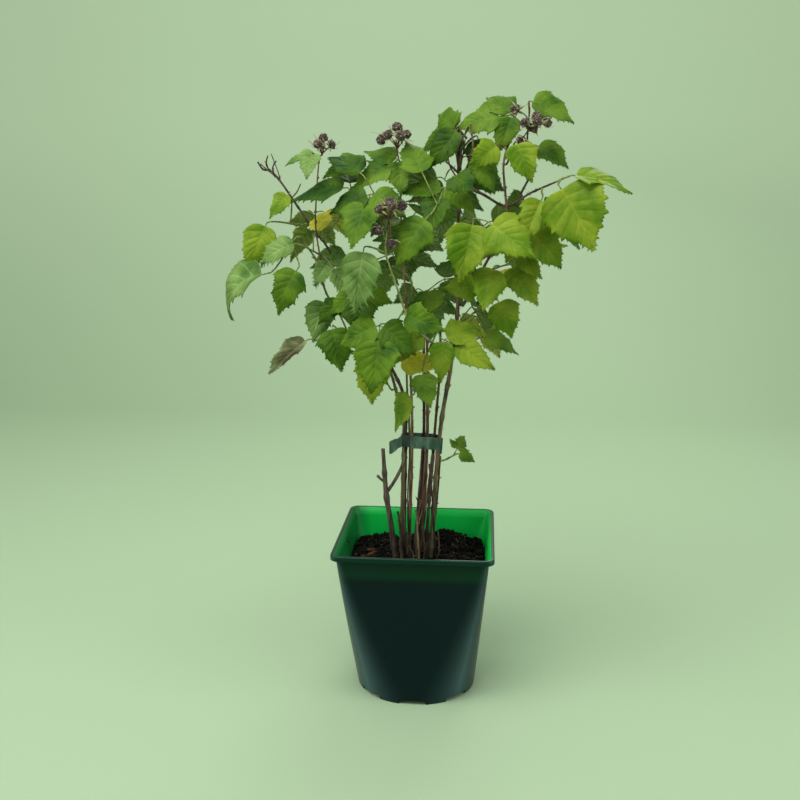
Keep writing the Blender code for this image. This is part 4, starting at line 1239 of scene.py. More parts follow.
def pucker_at(phase, column, t):
    """How high the strip between two veins swells here."""
    swell = math.sin(math.pi * min(1, max(0, (phase - VEIN_HALF) / (1 - 2 * VEIN_HALF)))) ** 0.5
    return PLEAT * swell * (1 - math.exp(-7 * column)) * (1 - 0.5 * column) * (1 - 0.5 * t)


print("widest part of a leaflet:", max(OUTLINE, key=lambda step: step[1])[0], "of the way along")

# %% [markdown]
# The plan is a grid: its rows are the veins and the strips between them, its columns go from the midrib to
# the edge. Each vein leaves the midrib at a slant, so a point's place along the leaf depends on its column.
# Eight plans, each a little different, are enough, because every leaf also gets its own width and curl.

# %% Leaflet plans
def leaflet_plan(seed, ragged=0.0):
    """(points, faces, marks) of a leaflet of length 1 laid flat, each point as along, across, lift, vein."""
    draw = random.Random(seed)
    phases = [(vein, phase) for vein in range(VEINS) for phase in TOOTH]
    lobe = draw.uniform(0.04, 0.16)
    ripple = draw.uniform(0.014, 0.034)
    halves = []
    for side in (-1, 1):
        shift = draw.uniform(0.35, 0.75)
        wave = draw.uniform(0, 6.3)
        for vein, phase in phases:
            bite = draw.uniform(0.6, 1.35) if abs(phase) != VEIN_HALF else draw.uniform(1.0, 1.3)
            for column in COLUMNS:
                drawn_in = phase if abs(phase) > VEIN_HALF else phase * (1 - 0.75 * column)
                a = min(0.988, max(0.004, VEIN_FIRST + VEIN_STEP * (vein + drawn_in)))
                t = 1 - (1 - a) ** 2
                tooth = tooth_at(phase, bite, column, t, ragged)
                sweep = FOOT_SWEEP * math.exp(-(t / 0.10) ** 2) * column ** 1.5
                along = a + (t - a) * column ** 1.15 + tooth * TOOTH_FORWARD - sweep
                rib = RIB * (1 - 0.8 * a)
                across = rib + (half_width(t, lobe, shift) - rib) * column + tooth * TOOTH_OUT
                wavy = ripple * column ** 2 * math.sin(11 * t + wave) * (1 - 0.6 * t)
                lift = pucker_at(phase, column, t) + wavy - 0.012 * column ** 3
                halves.append((along, side * across, lift, abs(phase) <= VEIN_HALF))
    return build_sheet(np.array(halves), len(phases), len(COLUMNS))


def build_sheet(points, rows, columns):
    """Joins the two halves across the midrib, adds the underside and closes the rim."""
    half = rows * columns
    left = np.arange(half).reshape(rows, columns)
    strip = np.concatenate([left[:, ::-1], left + half], axis=1)
    quads = np.stack([strip[:-1, :-1], strip[:-1, 1:], strip[1:, 1:], strip[1:, :-1]], axis=-1).reshape(-1, 4)
    on_vein = np.zeros((rows - 1, 2 * columns - 1), dtype=bool)
    on_vein[::len(TOOTH)] = True
    on_vein[:, columns - 1] = True
    on_vein = on_vein.ravel()
    edge = np.concatenate([strip[0, :], strip[1:, -1], strip[-1, -2::-1], strip[-2:0:-1, 0]])
    after = np.roll(edge, -1)
    rim = np.stack([edge, after, after + 2 * half, edge + 2 * half], axis=-1)
    faces = np.concatenate([quads[:, ::-1], quads + 2 * half, rim])
    marks = [np.where(on_vein, 2, 0), np.where(on_vein, 3, 1), np.zeros(len(rim), dtype=int)]
    return points, faces, np.concatenate(marks)


PLANS = [leaflet_plan(seed) for seed in range(7)]
RAGGED = leaflet_plan(7, 3.5)
print("faces in one leaflet:", len(PLANS[0][1]))

# %% [markdown]
# The flat plan is bent onto each drooping blade with arrays, all points at once, which is hundreds of times
# faster than point by point. The underside is a hair below the top, and its veins stand out a little more.

# %% Leaflet in place
CURL = (-0.24, 0.05)
SWAY = (-0.10, 0.10)
TWIST = (-0.5, 0.5)
STRETCH = (0.80, 1.10)
VEIN_PROUD = 0.3
# The rows whose leaves are torn at the edge, and those whose leaves are clearly wide or narrow.
RAGGED_ROWS = {"twig_hero", "spray_left_middle"}
WIDE_ROWS = {"spray_far_left": 1.1, "twig_right_hang": 1.3, "spray_front_right": 1.08, "spray_round": 1.1,
             "spray_withered": 0.62}


def bend_plan(plan, blade, stretch, curl, sway, twist):
    """The plan's points on this blade, top side then underside, widened, curled, swayed and twisted."""
    along, across, lift, vein = plan[0].T
    across = across * stretch
    lift = lift + curl * (across / HALF_WIDTH) ** 2 * along + twist * across * along
    across = (across + sway * along ** 2) * blade.length
    lift = lift * blade.length
    angle = blade.droop * along
    reach = blade.length / blade.droop
    heading, face = np.array(blade.heading), np.array(blade.face)
    side = np.cross(face, heading)
    rib = np.array(blade.base) + np.outer(reach * np.sin(angle), heading)
    rib -= np.outer(reach * (1 - np.cos(angle)), face)
    normal = np.outer(np.cos(angle), face) + np.outer(np.sin(angle), heading)
    plane = rib + np.outer(across * math.cos(blade.fold), side)
    height = lift + np.abs(across) * math.sin(blade.fold)
    half = LEAF_THICK * MM / 2
    top = plane + normal * (height + half)[:, None]
    under = plane + normal * (height - half - VEIN_PROUD * MM * vein)[:, None]
    return np.concatenate([top, under])


def add_leaflet(heap, blade, number, row_name):
    """One detailed leaflet, with a plan, a width, a curl, a sway and a twist picked by its number."""
    draw = random.Random(number)
    plan = RAGGED if row_name in RAGGED_ROWS else PLANS[number % len(PLANS)]
    mirror = draw.random() < 0.5
    stretch = WIDE_ROWS.get(row_name, draw.uniform(*STRETCH)) * (-1 if mirror else 1)
    points = bend_plan(plan, blade, stretch, draw.uniform(*CURL), draw.uniform(*SWAY), draw.uniform(*TWIST))
    heap.add(points, (plan[1][:, ::-1] if mirror else plan[1], plan[2]))


print(len(PLANS), "leaflet plans and a ragged one,", LEAF_THICK, "mm thick")

# %% [markdown]
# ## Leaf colours
# The plant has bright new leaves on the right, deep green ones in the middle, grey-green ones on the left
# and a few going yellow. Each tint is a set of plain tones for the top, the underside and the veins. The
# small network between the veins is a cell pattern used only as a fine relief and a slight painted shade in
# its pressed-in lines.

# %% Leaf finishes
TINTS = {
    "fresh": ((50, 86, 12), (92, 122, 32), (108, 134, 50)),
    "yellow_green": ((76, 114, 14), (122, 144, 36), (140, 158, 60)),
    "dark": ((42, 78, 8), (86, 118, 24), (108, 136, 48)),
    # The deep tint: a deeper tone, and painted shade on the leaflets at the back.
    "deep": ((26, 60, 6), (62, 94, 18), (90, 118, 44)),
    "pale": ((66, 100, 36), (114, 144, 74), (168, 188, 136)),
    "withered": ((60, 52, 34), (138, 146, 102), (172, 176, 138)),
    "yellow": ((140, 146, 24), (184, 182, 56), (192, 188, 92)),
    "russet": ((112, 62, 18), (172, 104, 36), (160, 120, 60)),
}
LEAF_SHINE = 0.09
NET_SCALE = 620
NET_PAINTED_SHADE = 0.16


def leaf_finish(name, dark, light, roughness, depth):
    """A leaf's skin: two tones in soft clouds, a net of fine veins pressed in and given painted shade."""
    finish = Finish(name, roughness, LEAF_SHINE)
    skin = finish.tones(finish.cloud(42), [(0.34, srgb(*dark)), (0.6, srgb(*light))])
    place = finish.node("TexCoord")["Object"]
    net = finish.node("TexVoronoi", {"Vector": place, "Scale": NET_SCALE}, feature="DISTANCE_TO_EDGE")
    cells = finish.tones(net["Distance"], [(0.0, BLACK), (0.28, WHITE)])
    # The net's pressed-in lines are darkened a little as painted shade.
    finish.put("Base Color", blended(finish, NET_PAINTED_SHADE, skin, cells, "MULTIPLY"))
    finish.relief(cells, 0.35, depth * MM)
    finish.relief(finish.cloud(190, 2), 0.5, 1.2 * MM)
    return finish.material


def mixed(one, other, share):
    """A tone between two tones."""
    return tuple(round(a + (b - a) * share) for a, b in zip(one, other))


def tint_finishes(tint):
    """Top, underside, vein on top and vein below."""
    dark, light, vein = TINTS[tint]
    under = mixed(light, (160, 178, 130), 0.45)
    top = leaf_finish(f"leaf_{tint}_top", dark, light, 0.5, 0.12)
    below = leaf_finish(f"leaf_{tint}_underside", mixed(dark, under, 0.6), under, 0.75, 0.2)
    vein_top = leaf_finish(f"vein_{tint}_top", mixed(dark, vein, 0.3), mixed(light, vein, 0.5), 0.5, 0.05)
    vein_light = mixed(under, (200, 208, 170), 0.5)
    vein_below = leaf_finish(f"vein_{tint}_underside", mixed(under, vein, 0.5), vein_light, 0.7, 0.05)
    return [top, below, vein_top, vein_below]


print(len(TINTS), "tints of four finishes each")

# %% [markdown]
# One object for each leaf would be slow, and one for all would have dozens of finishes. So every leaflet
# falls into the heap of its tint. A few single leaves have turned yellow or russet. Of the dark leaflets
# every third is a deeper tone, and all of those at the back take the deeper tone as painted shade.

# %% Leaves, joined by tint
TURNED = {
    ("spray_back_far_left", 1): "yellow",
    ("spray_mid_low", 1): "yellow",
    ("spray_back_low_right", 0): "yellow",
    ("spray_low_left", 1): "yellow",
    ("spray_left_middle", 2): "yellow",
    ("twig_below", 1): "russet",
    ("spray_pale_low", 0): "yellow_green",
}
SLOT_OF = {"yellow": "leaf_yellow_green", "russet": "leaf_withered", "deep": "leaf_dark"}
DEEP_EVERY = 3


def tint_of(row, place, number):
    """The tint of the leaflet of this number, in the leaf at this place of the row."""
    tint = TURNED.get((row.name, place), row.tint)
    # Leaflets at the back take the deeper tint as painted shade; every third dark one is a deeper tone.
    if tint == "dark" and ("back" in row.name or number % DEEP_EVERY == 1):
        return "deep"
    return tint


tint_of_node = {row.name: row.tint for row in SPRAYS if row.on in limbs}
leaf_heaps = {}
number = 0
for spray in sprays.values():
    for place, leaf in enumerate(spray.leaves):
        for blade in leaf.blades:
            tint = tint_of(spray.row, place, number)
            add_leaflet(leaf_heaps.setdefault(tint, Heap()), blade, number, spray.row.name)
            number += 1
for tint, heap in leaf_heaps.items():
    covered = [node for node, own in tint_of_node.items() if own == tint]
    heap.piece(f"leaves_{tint}", tint_finishes(tint), covered, SLOT_OF.get(tint, f"leaf_{tint}"))

# %% [markdown]
# ## Bark
# A raspberry cane is a slim rod with a swelling at every bud, fine lengthwise ridges and small prickles. A
# curve with a bevel would be a smooth pipe, so each ring of points is pushed in and out: by a slow pattern
# along the cane, by ridges that run down it, and by a bulge at each bud, where a short spur stands.

# %% Bark tube
KNOT_BULGE = 0.35


def frames_along(path):
    """(side, other) across the path at each of its points, carried along so that the tube never twists."""
    side = Vector((0.31, 0.83, 0.47))
    frames = []
    for i in range(len(path)):
        along = (path[min(i + 1, len(path) - 1)] - path[max(i - 1, 0)]).normalized()
        side = (side - along * side.dot(along)).normalized()
        frames.append((side, along.cross(side)))
    return frames


def swell_at(distance, radius, knots):
    """How much the buds at these distances swell the bark here."""
    return sum(KNOT_BULGE * math.exp(-((distance - knot) / (1.6 * radius)) ** 2) for knot in knots)


def bark_tube(heap, path, radii, sides, mark=0, relief=0.0, knots=(), seed=0):
    """A closed tapering tube with relief in its bark and a bulge at each knot, a share of its length."""
    total = lengths_along(path)
    knots = [knot * total[-1] for knot in knots]
    points = []
    for i, (side, other) in enumerate(frames_along(path)):
        bulge = swell_at(total[i], radii[i], knots)
        for k in range(sides):
            angle = 2 * math.pi * k / sides
            cos, sin = math.cos(angle), math.sin(angle)
            grain = noise.noise(Vector((cos, sin, total[i] * 60 + seed)) * 1.6)
            ridge = noise.noise(Vector((cos * 3.5, sin * 3.5, total[i] * 14 + seed)))
            radius = radii[i] * (1 + bulge + relief * (0.6 * grain + 0.8 * ridge))
            points.append(path[i] + (side * cos + other * sin) * radius)
    count = len(points)
    ends = np.concatenate([fan_faces(count, np.arange(sides), flip=True),
                           fan_faces(count + 1, np.arange(count - sides, count))])
    heap.add(points + [path[0], path[-1]], (grid_faces(len(path), sides), mark), (ends, mark))


def spike(heap, foot, direction, length, radius, mark=0, sides=5):
    """A bud, prickle or spur: a closed cone, a little fatter just above its foot."""
    path = [foot + direction * length * share for share in (0, 0.35, 0.75, 1)]
    bark_tube(heap, path, [radius, radius * 1.05, radius * 0.55, radius * 0.08], sides, mark)


print("a bud swells the bark by", KNOT_BULGE)

# %% [markdown]
# Each cane has its own bark: pinkish tan on the old ones, green on this year's, nearly black on the dead
# ones. The pattern is stretched along the cane, because bark splits and fades in lengthwise streaks.

# %% Bark finishes
BARKS = {
    "cane_tan": ((72, 48, 34), (132, 104, 76)),
    "cane_right": ((54, 44, 32), (108, 90, 66)),
    "cane_slim": ((40, 26, 20), (84, 60, 44)),
    "cane_dark": ((22, 17, 15), (52, 40, 32)),
    "cane_inner": ((58, 30, 24), (104, 66, 50)),
    "cane_green": ((60, 68, 34), (100, 106, 58)),
    "cane_left": ((30, 25, 20), (74, 64, 50)),
    "cane_low_left": ((58, 60, 34), (106, 104, 64)),
    "dead_fork": ((38, 28, 24), (84, 70, 58)),
    "stub_pointed": ((44, 32, 26), (92, 72, 56)),
    "stub_pale": ((84, 68, 48), (142, 124, 92)),
    "bough_right": ((44, 30, 22), (90, 68, 48)),
    "bough_long": ((34, 24, 20), (76, 56, 42)),
    "bough_dark": ((24, 18, 17), (56, 42, 36)),
    "bough_front": ((88, 100, 46), (132, 140, 80)),
    "bough_brown": ((70, 48, 34), (118, 92, 64)),
}
BARK_SLOTS = {"bark_tan": ("cane_tan", "cane_right", "cane_left"), "bark_pale": ("stub_pale",),
              "bark_green": ("cane_green", "cane_low_left", "bough_front"),
              "bark_red": ("bough_right", "bough_long", "bough_dark")}
WEATHERED = (168, 152, 132)
FOOT_DARKENING = (0.38, 0.40, 0.36, 1)
FOOT_DARKENING_BELOW = 0.135
FOOT_DARKENING_ABOVE = 0.235


def bark_slot(name):
    """The name of the record's slot for this cane or bough."""
    return next((slot for slot, names in BARK_SLOTS.items() if name in names), "bark_brown")


def bark_finish(name, dark, light):
    """Streaks along the cane in three tones, darker towards the foot, with a fibrous relief."""
    finish = Finish(name, 0.7, 0.35)
    stops = [(0.36, srgb(*dark)), (0.52, srgb(*light)), (0.74, srgb(*mixed(light, WEATHERED, 0.35)))]
    streaks = finish.tones(finish.cloud(420, 4, (1, 1, 0.12)), stops)
    # The bark darkens towards the foot, from about 235 mm down to 135 mm.
    toward_foot = finish.tones(share_along(finish, "Z", FOOT_DARKENING_BELOW, FOOT_DARKENING_ABOVE), [(0.0, FOOT_DARKENING), (1.0, WHITE)])
    finish.put("Base Color", blended(finish, 1.0, streaks, toward_foot, "MULTIPLY"))
    finish.relief(finish.cloud(1500, 3, (1, 1, 0.15)), 0.5, 0.25 * MM)
    return finish.material


print("bark finishes for", len(BARKS), "canes and boughs")

# %% [markdown]
# Each limb is sampled finely along the same route and becomes one piece: its bark, then a bud at each knot,
# small prickles that lean down the cane, and the short prongs that fork from it. A few limbs are made a
# fraction of a millimetre stouter or slimmer here, since bark and buds change how thick they look.

# %% Canes and boughs
KNOT_GAP = 34
PRICKLE_GAP = 3.5
CANE_DETAIL = (2.5, 12)
BOUGH_DETAIL = (2.0, 9)
THICKER = {"dead_fork": 0.8, "cane_tan": -0.4, "cane_right": -0.5, "cane_dark": -0.3, "cane_left": -0.3}


def knots_on(length, draw):
    """The shares of the length where buds stand, about a thumb's width apart."""
    count = max(1, round(length / (KNOT_GAP * MM)))
    return [(k + 0.5 + draw.uniform(-0.2, 0.2)) / count for k in range(count)]


def add_buds(heap, limb, knots, draw):
    """A bud at each knot, pointing out and up."""
    for share in knots:
        point, along, radius = place_on(limb, share)
        turn = draw.uniform(0, 6.3)
        out = (along.orthogonal().normalized() * math.cos(turn)
               + along.cross(along.orthogonal()).normalized() * math.sin(turn))
        length = draw.uniform(2.0, 3.6) * MM
        spike(heap, point + out * radius * 0.8, (out + along * 0.9).normalized(), length, 0.8 * MM)


def add_prickles(heap, limb, count, draw):
    """Thin prickles all over the limb, leaning a little down it."""
    for _ in range(count):
        point, along, radius = place_on(limb, draw.uniform(0.03, 0.95))
        out = (Matrix.Rotation(draw.uniform(0, 6.3), 3, along) @ along.orthogonal()).normalized()
        length = draw.uniform(1.0, 2.4) * MM
        spike(heap, point + out * radius * 0.8, (out - along * 0.25).normalized(), length, 0.32 * MM, 0, 4)


def dress_limb(name, limb, prongs, seed, sides):
    """A limb's bark with its buds, prickles and prongs, as one piece in place of the plain solid."""
    draw = random.Random(seed)
    heap = Heap()
    length = lengths_along(limb.path)[-1]
    extra = THICKER.get(name, 0)
    knots = knots_on(length, draw)
    bark_tube(heap, limb.path, [radius + extra * MM for radius in limb.radii], sides, 0, 0.12, knots, seed)
    add_buds(heap, limb, knots, draw)
    add_prickles(heap, limb, int(length / (PRICKLE_GAP * MM)), draw)
    for share, radius, tip in prongs:
        point, along, _ = place_on(limb, share)
        end = Vector(tip) * MM
        middle = point.lerp(end, 0.5) - along * 0.06 * (end - point).length
        path = smooth_path([point, middle, end], 2 * MM)
        stout = (radius + 0.8 * extra) * MM
        bark_tube(heap, path, taper(path, stout, 0.8 * stout), 8, 0, 0.2, [0.85], seed + 5)
    finish = bark_finish(f"{name}_bark", *BARKS[name])
    heap.piece(f"{name}_bark", [finish], [name], bark_slot(name), 50)


for seed, cane in enumerate(CANES):
    dress_limb(cane.name, cane_limb(cane, CANE_DETAIL[0]), cane.prongs, seed, CANE_DETAIL[1])
for seed, bough in enumerate(BOUGHS):
    dress_limb(bough.name, bough_limb(bough, limbs, BOUGH_DETAIL[0]), [], 40 + seed, BOUGH_DETAIL[1])

# %% [markdown]
# ## Dead wood
# Last year's fruit stalks dried on the plant: a dark broken bunch at the top of the right cane, a fork at
# the end of the left one, and thin old stems with short stubs round the foot. They are too fine to matter
# as solids, so they are one more heap of crooked tubes, each from a foot through a bend to a broken tip.
# Every other one is dark, and the rest are brown.

# %% Dead wood, in millimetres
# Foot, bend, tip and radius of each stem.
DEAD_WOOD = [
    ((41, -12, 519), (38, -20, 544), (48, -24, 567), 1.3),
    ((44, -12, 524), (52, -22, 546), (50, -22, 569), 1.2),
    ((40, -12, 524), (34, -17, 530), (27, -20, 536), 1.0),
    ((41, -12, 528), (41, -22, 536), (42, -26, 548), 0.9),
    ((44, -12, 522), (50, -18, 528), (53, -20, 538), 0.9),
    ((38, -12, 520), (31, -18, 532), (28, -22, 547), 0.8),
    ((39, -12, 532), (44, -16, 548), (41, -14, 562), 0.9),
    ((34, -17, 530), (30, -18, 528), (26, -17, 520), 0.7),
    ((-149, 20, 529), (-156, 19, 530), (-161, 19, 537), 1.1),
    ((-150, 20, 528), (-152, 17, 536), (-150, 16, 543), 1.0),
    ((-144, 20, 522), (-146, 18, 531), (-142, 17, 538), 0.9),
    ((-128, 20, 502), (-122, 18, 508), (-118, 17, 516), 0.7),
    ((-7, -9, 134), (-9, -9, 200), (-7, -9, 253), 0.9),
    ((10, -6, 134), (6, -12, 190), (9, -12, 252), 1.1),
    ((19, -2, 134), (17, -14, 196), (13, -14, 240), 1.2),
    ((13, 8, 134), (20, -2, 190), (24, -6, 246), 1.2),
    ((-12, -20, 134), (-15, -21, 165), (-18, -22, 192), 1.3),
    ((1, -18, 134), (1, -19, 172), (5, -18, 203), 1.1),
    ((-4, -20, 134), (-6, -22, 152), (-11, -23, 170), 1.2),
    ((8, -18, 134), (9, -21, 155), (6, -22, 176), 1.0),
    ((-3, -12, 134), (2, -14, 196), (6, -12, 256), 1.5),
    ((3, -14, 134), (10, -16, 196), (16, -14, 250), 1.4),
    ((12, -16, 134), (13, -18, 190), (18, -17, 250), 1.3),
    ((-10, -14, 134), (-12, -14, 190), (-12, -12, 250), 0.9),
    ((8, -24, 134), (10, -25, 150), (14, -26, 163), 1.1),
    ((-1, -26, 134), (-2, -28, 148), (-6, -29, 158), 1.0),
    ((-26, -18, 134), (-22, -22, 139), (-14, -24, 141), 0.8),
    ((20, -14, 134), (24, -18, 150), (23, -19, 170), 1.0),
]
SNAG_SHARES = (0.3, 0.55, 0.8)


def dead_twig(heap, foot, bend, tip, radius, seed):
    """A crooked dry twig that ends in a blunt break, with a knuckle half way and three small snags."""
    path = smooth_path([Vector(p) * MM for p in (foot, bend, tip)], 2 * MM)
    bark_tube(heap, path, taper(path, radius * MM, radius * 0.7 * MM), 8, seed % 2, 0.22, [0.45, 0.97], seed)
    draw = random.Random(seed)
    for share in SNAG_SHARES:
        point = path[int(share * (len(path) - 1))]
        lean = Vector((draw.uniform(-1, 1), draw.uniform(-1, 0.4), draw.uniform(0.2, 1))).normalized()
        spike(heap, point, lean, draw.uniform(2.5, 4.5) * radius * MM, 0.5 * radius * MM, seed % 2)


dead_heap = Heap()
for seed, (foot, bend, tip, radius) in enumerate(DEAD_WOOD):
    dead_twig(dead_heap, foot, bend, tip, radius, seed)
dead_dark = bark_finish("dead_wood_dark", (20, 15, 13), (58, 46, 38))
dead_brown = bark_finish("dead_wood_brown", (46, 30, 22), (96, 72, 54))
dead_heap.piece("dead_wood", [dead_dark, dead_brown], [], "bark_brown", 50)

# %% [markdown]
# ## Twigs and leaf stalks
# Every leaf hangs on a stalk that runs on under the blade as its midrib. They are round tubes from the same
# foot to the same leaf as the coarse stems, with more steps and a straighter run between. All of them are
# one mesh with a green and a brown finish.

# %% Twigs
BROWN_TWIGS = {"spray_top", "spray_top_back", "spray_top_fruit", "spray_top_hang", "spray_crown",
               "spray_crown_right", "spray_left_fruit"}
SLACK = 0.2
STALK_TIP = 0.6
RIB_SHARES = (0.0, 0.08, 0.2, 0.35, 0.5, 0.65, 0.8)


def add_stalk(heap, leaf, mark, seed):
    """The stalk of a side leaf, with the bud that sits in its corner."""
    path = bent_path(*leaf.bend, 8, SLACK)
    bark_tube(heap, path, taper(path, STALK_RADIUS * MM, STALK_TIP * MM), 7, mark, 0.08, [0.06], seed)
    spike(heap, path[0], (leaf.bend[1] + UP).normalized(), 3.2 * MM, 0.9 * MM, mark)


def add_twigs(heap, spray):
    """The spray's stem, its leaf stalks, and the midrib under each leaflet."""
    seed = spray.row.seed
    mark = 1 if spray.row.name in BROWN_TWIGS else 0
    fine = [spray.stem.path[0]] + bent_path(*spray.bend, 4 * (len(spray.stem.path) - 2), SLACK)
    radii = taper(fine, 0.88 * spray.stem.radii[0], 0.85 * spray.stem.radii[-1])
    bark_tube(heap, fine, radii, 8, mark, 0.10, [0.4, 0.75], seed)
    for leaf in spray.leaves:
        node = leaf.bend[2] if leaf.bend else spray.stem.path[-1]
        if leaf.bend:
            add_stalk(heap, leaf, mark, seed)
        for blade in leaf.blades:
            rib = [node] + [on_blade(blade, share * blade.length, 0, -0.35 * MM) for share in RIB_SHARES]
            radii = [0.62 * MM] + [(0.6 - 0.5 * share) * MM for share in RIB_SHARES]
            bark_tube(heap, rib, radii, 6, mark if leaf.bend else 0)


twig_heap = Heap()
for spray in sprays.values():
    add_twigs(twig_heap, spray)
twig_green = bark_finish("twig_green", (66, 78, 30), (116, 128, 62))
twig_brown = bark_finish("twig_brown", (44, 30, 22), (90, 66, 44))
twig_heap.piece("twigs_and_stalks", [twig_green, twig_brown], list(tint_of_node), "bark_green")

# %% [markdown]
# ## Dried fruit heads
# The season is over: each head is a dry knob of shrunken beads on its cone, with papery sepals spread
# under it. A ball with a bumpy finish would show a smooth outline, so every bead is a small ball of its
# own, set out in a spiral as they grow: each stands a golden angle further round than the last.

# %% One fruit head
BEADS = 44
SEPALS = 6
GOLDEN_ANGLE = 2.39996
PALE_BEADS = 0.35
BALL = small_ball(2)


def axis_frame(axis):
    """The turn that stands a shape made upright along this axis."""
    side = axis.orthogonal().normalized()
    return np.array([side, axis.cross(side), axis]).T


def add_bead(heap, draw, bead, core, centre, turn):
    """One shrunken bead, the first ones at the top of the head."""
    height = 0.95 - 1.55 * bead / BEADS
    around = bead * GOLDEN_ANGLE
    flat = math.sqrt(max(0, 1 - height * height))
    out = np.array((flat * math.cos(around), flat * math.sin(around), height))
    size = draw.uniform(0.7, 1.3)
    shape = BALL[0] * size * (draw.uniform(0.8, 1.1), draw.uniform(0.8, 1.1), 0.9)
    place = (out * core * draw.uniform(0.82, 1.0)) @ turn.T
    heap.add((shape + place) * MM + centre, (BALL[1], 1 if draw.random() < PALE_BEADS else 0))


def add_sepal(heap, draw, around, core, centre, turn):
    """A narrow pointed sepal that starts under the head and curls up past it or back down."""
    length = draw.uniform(7, 11.5)
    rise = draw.uniform(-0.4, 1.0)
    out = np.array((math.cos(around), math.sin(around), 0))
    side = np.array((-math.sin(around), math.cos(around), 0))
    up = np.array((0, 0, 1))
    rows = []
    for step in range(6):
        share = step / 5
        middle = out * (1.2 + length * share * 0.85) + up * (-0.75 * core + rise * length * share ** 2)
        width = 1.25 * math.sin(math.pi * min(1, share * 0.75 + 0.25)) * (1 - share ** 2) + 0.1
        rows += [middle - side * width, middle + up * 0.3, middle + side * width, middle - up * 0.25]
    heap.add(np.array(rows) @ turn.T * MM + centre, (grid_faces(6, 4), 2))


def add_fruit(heap, centre, axis, seed):
    """Beads in a spiral over a core, and pointed sepals below."""
    draw = random.Random(seed)
    turn = axis_frame(axis)
    core = BERRY_RADIUS * 0.84 * draw.uniform(0.8, 1.1)
    heap.add((BALL[0] * (core * 0.85, core * 0.85, core)) @ turn.T * MM + centre, (BALL[1], 0))
    for bead in range(BEADS):
        add_bead(heap, draw, bead, core, centre, turn)
    for sepal in range(SEPALS):
        around = 2 * math.pi * sepal / SEPALS + draw.uniform(-0.3, 0.3)
        add_sepal(heap, draw, around, core, centre, turn)


print("a head has", BEADS, "beads and", SEPALS, "sepals")

# %% [markdown]
# The growing rule already gave each fruiting twig its heads, and no leaf grows there. A few more heads are
# hung on the fullest clusters, at given places, each on a thin stalk that bows a little upwards.

# %% Fruit heads
MORE_HEADS = {
    "spray_top_fruit": [(97, -20, 555), (91, -14, 583), (113, -14, 577)],
    "spray_front_fruit": [(-32, -66, 474), (-20, -68, 462)],
    "spray_top_middle": [(-34, -18, 556)],
}


def more_heads(spray):
    """Heads that hang from the cluster on their own thin stalks, as (path, centre, axis)."""
    made = []
    for place in MORE_HEADS.get(spray.row.name, ()):
        centre = Vector(place) * MM
        foot = spray.fruit[0][0][1]
        middle = foot.lerp(centre, 0.5) + UP * 5 * MM
        made.append(([foot, middle, centre], centre, (centre - middle).normalized()))
    return made


fruit_heap = Heap()
for spray in sprays.values():
    for number, (path, centre, axis) in enumerate(spray.fruit + more_heads(spray)):
        fine = smooth_path(path, 2 * MM)
        bark_tube(fruit_heap, fine, taper(fine, 0.7 * MM, 0.5 * MM), 6, 3, 0.15, [0.3, 0.95])
        add_fruit(fruit_heap, np.array(centre), axis, spray.row.seed * 10 + number)
dried_dark = two_tone("dried_fruit_dark", srgb(44, 32, 28), srgb(92, 76, 66), 0.85, 500, 1500, 0.8)
dried_pale = two_tone("dried_fruit_pale", srgb(84, 72, 62), srgb(142, 130, 114), 0.9, 500, 1500, 0.8)
sepal_dry = two_tone("sepal_dry", srgb(118, 112, 76), srgb(176, 172, 132), 0.8, 300, 1200, 0.4)
fruited = [row.name for row in SPRAYS if row.fruit[0]]
fruit_heap.piece("dried_fruit_heads", [dried_dark, dried_pale, sepal_dry, twig_brown], fruited,
                 "leaf_withered")

# %% [markdown]
# ## The tie
# A strip of green garden tape is drawn round all the canes and its two ends are pinched flat together and
# stapled. The tape follows the outermost canes all round, so each of its points is found by asking which
# cane stands out furthest that way.

# %% Tape band
TIE_LOW = 254
TIE_HIGH = 265
TIE_THICK = 0.8
TIE_STEPS = 96
# The band's cross section: how far up it and how far out, round from the inner lower edge.
TIE_PROFILE = ((0.0, 0.0), (0.0, 0.85), (0.25, 1.0), (0.5, 1.12), (0.75, 1.0), (1.0, 0.85), (1.0, 0.0),
               (0.5, 0.15))
TIE_SIDES = len(TIE_PROFILE)


def tape_point(height, angle, out_by):
    """Where the tape lies at this height and angle: on the cane that stands out furthest there."""
    out = Vector((math.cos(angle), math.sin(angle), 0))
    best = None
    for cane in CANES:
        if cane.name.startswith("cane"):
            limb = limbs[cane.name]
            after = next(i for i, p in enumerate(limb.path) if p.z > height)
            a, b = limb.path[after - 1], limb.path[after]
            point = a.lerp(b, (height - a.z) / (b.z - a.z))
            radius = max(limb.radii[after - 1], limb.radii[after])
            if best is None or point.dot(out) + radius > best[0]:
                best = (point.dot(out) + radius, point + out * (radius + out_by))
    return best[1]


def tape_ring(angle):
    """The band's cross section at this angle: a little wrinkled, and in front it slopes down to the right."""
    wrinkle = 0.9 * noise.noise(Vector((math.cos(angle) * 3, math.sin(angle) * 3, 4)))
    slope = 1.0 - 4.5 * max(0, math.cos(angle) + 0.25) ** 1.2 if math.sin(angle) < 0.3 else 0
    ring = []
    for rise, out in TIE_PROFILE:
        height = TIE_LOW - 0.2 + (TIE_HIGH - TIE_LOW + 0.4) * rise + wrinkle * (rise - 0.5) * 2 + slope
        ring.append(tape_point(height * MM, angle, GAP + out * TIE_THICK * MM))
    return ring


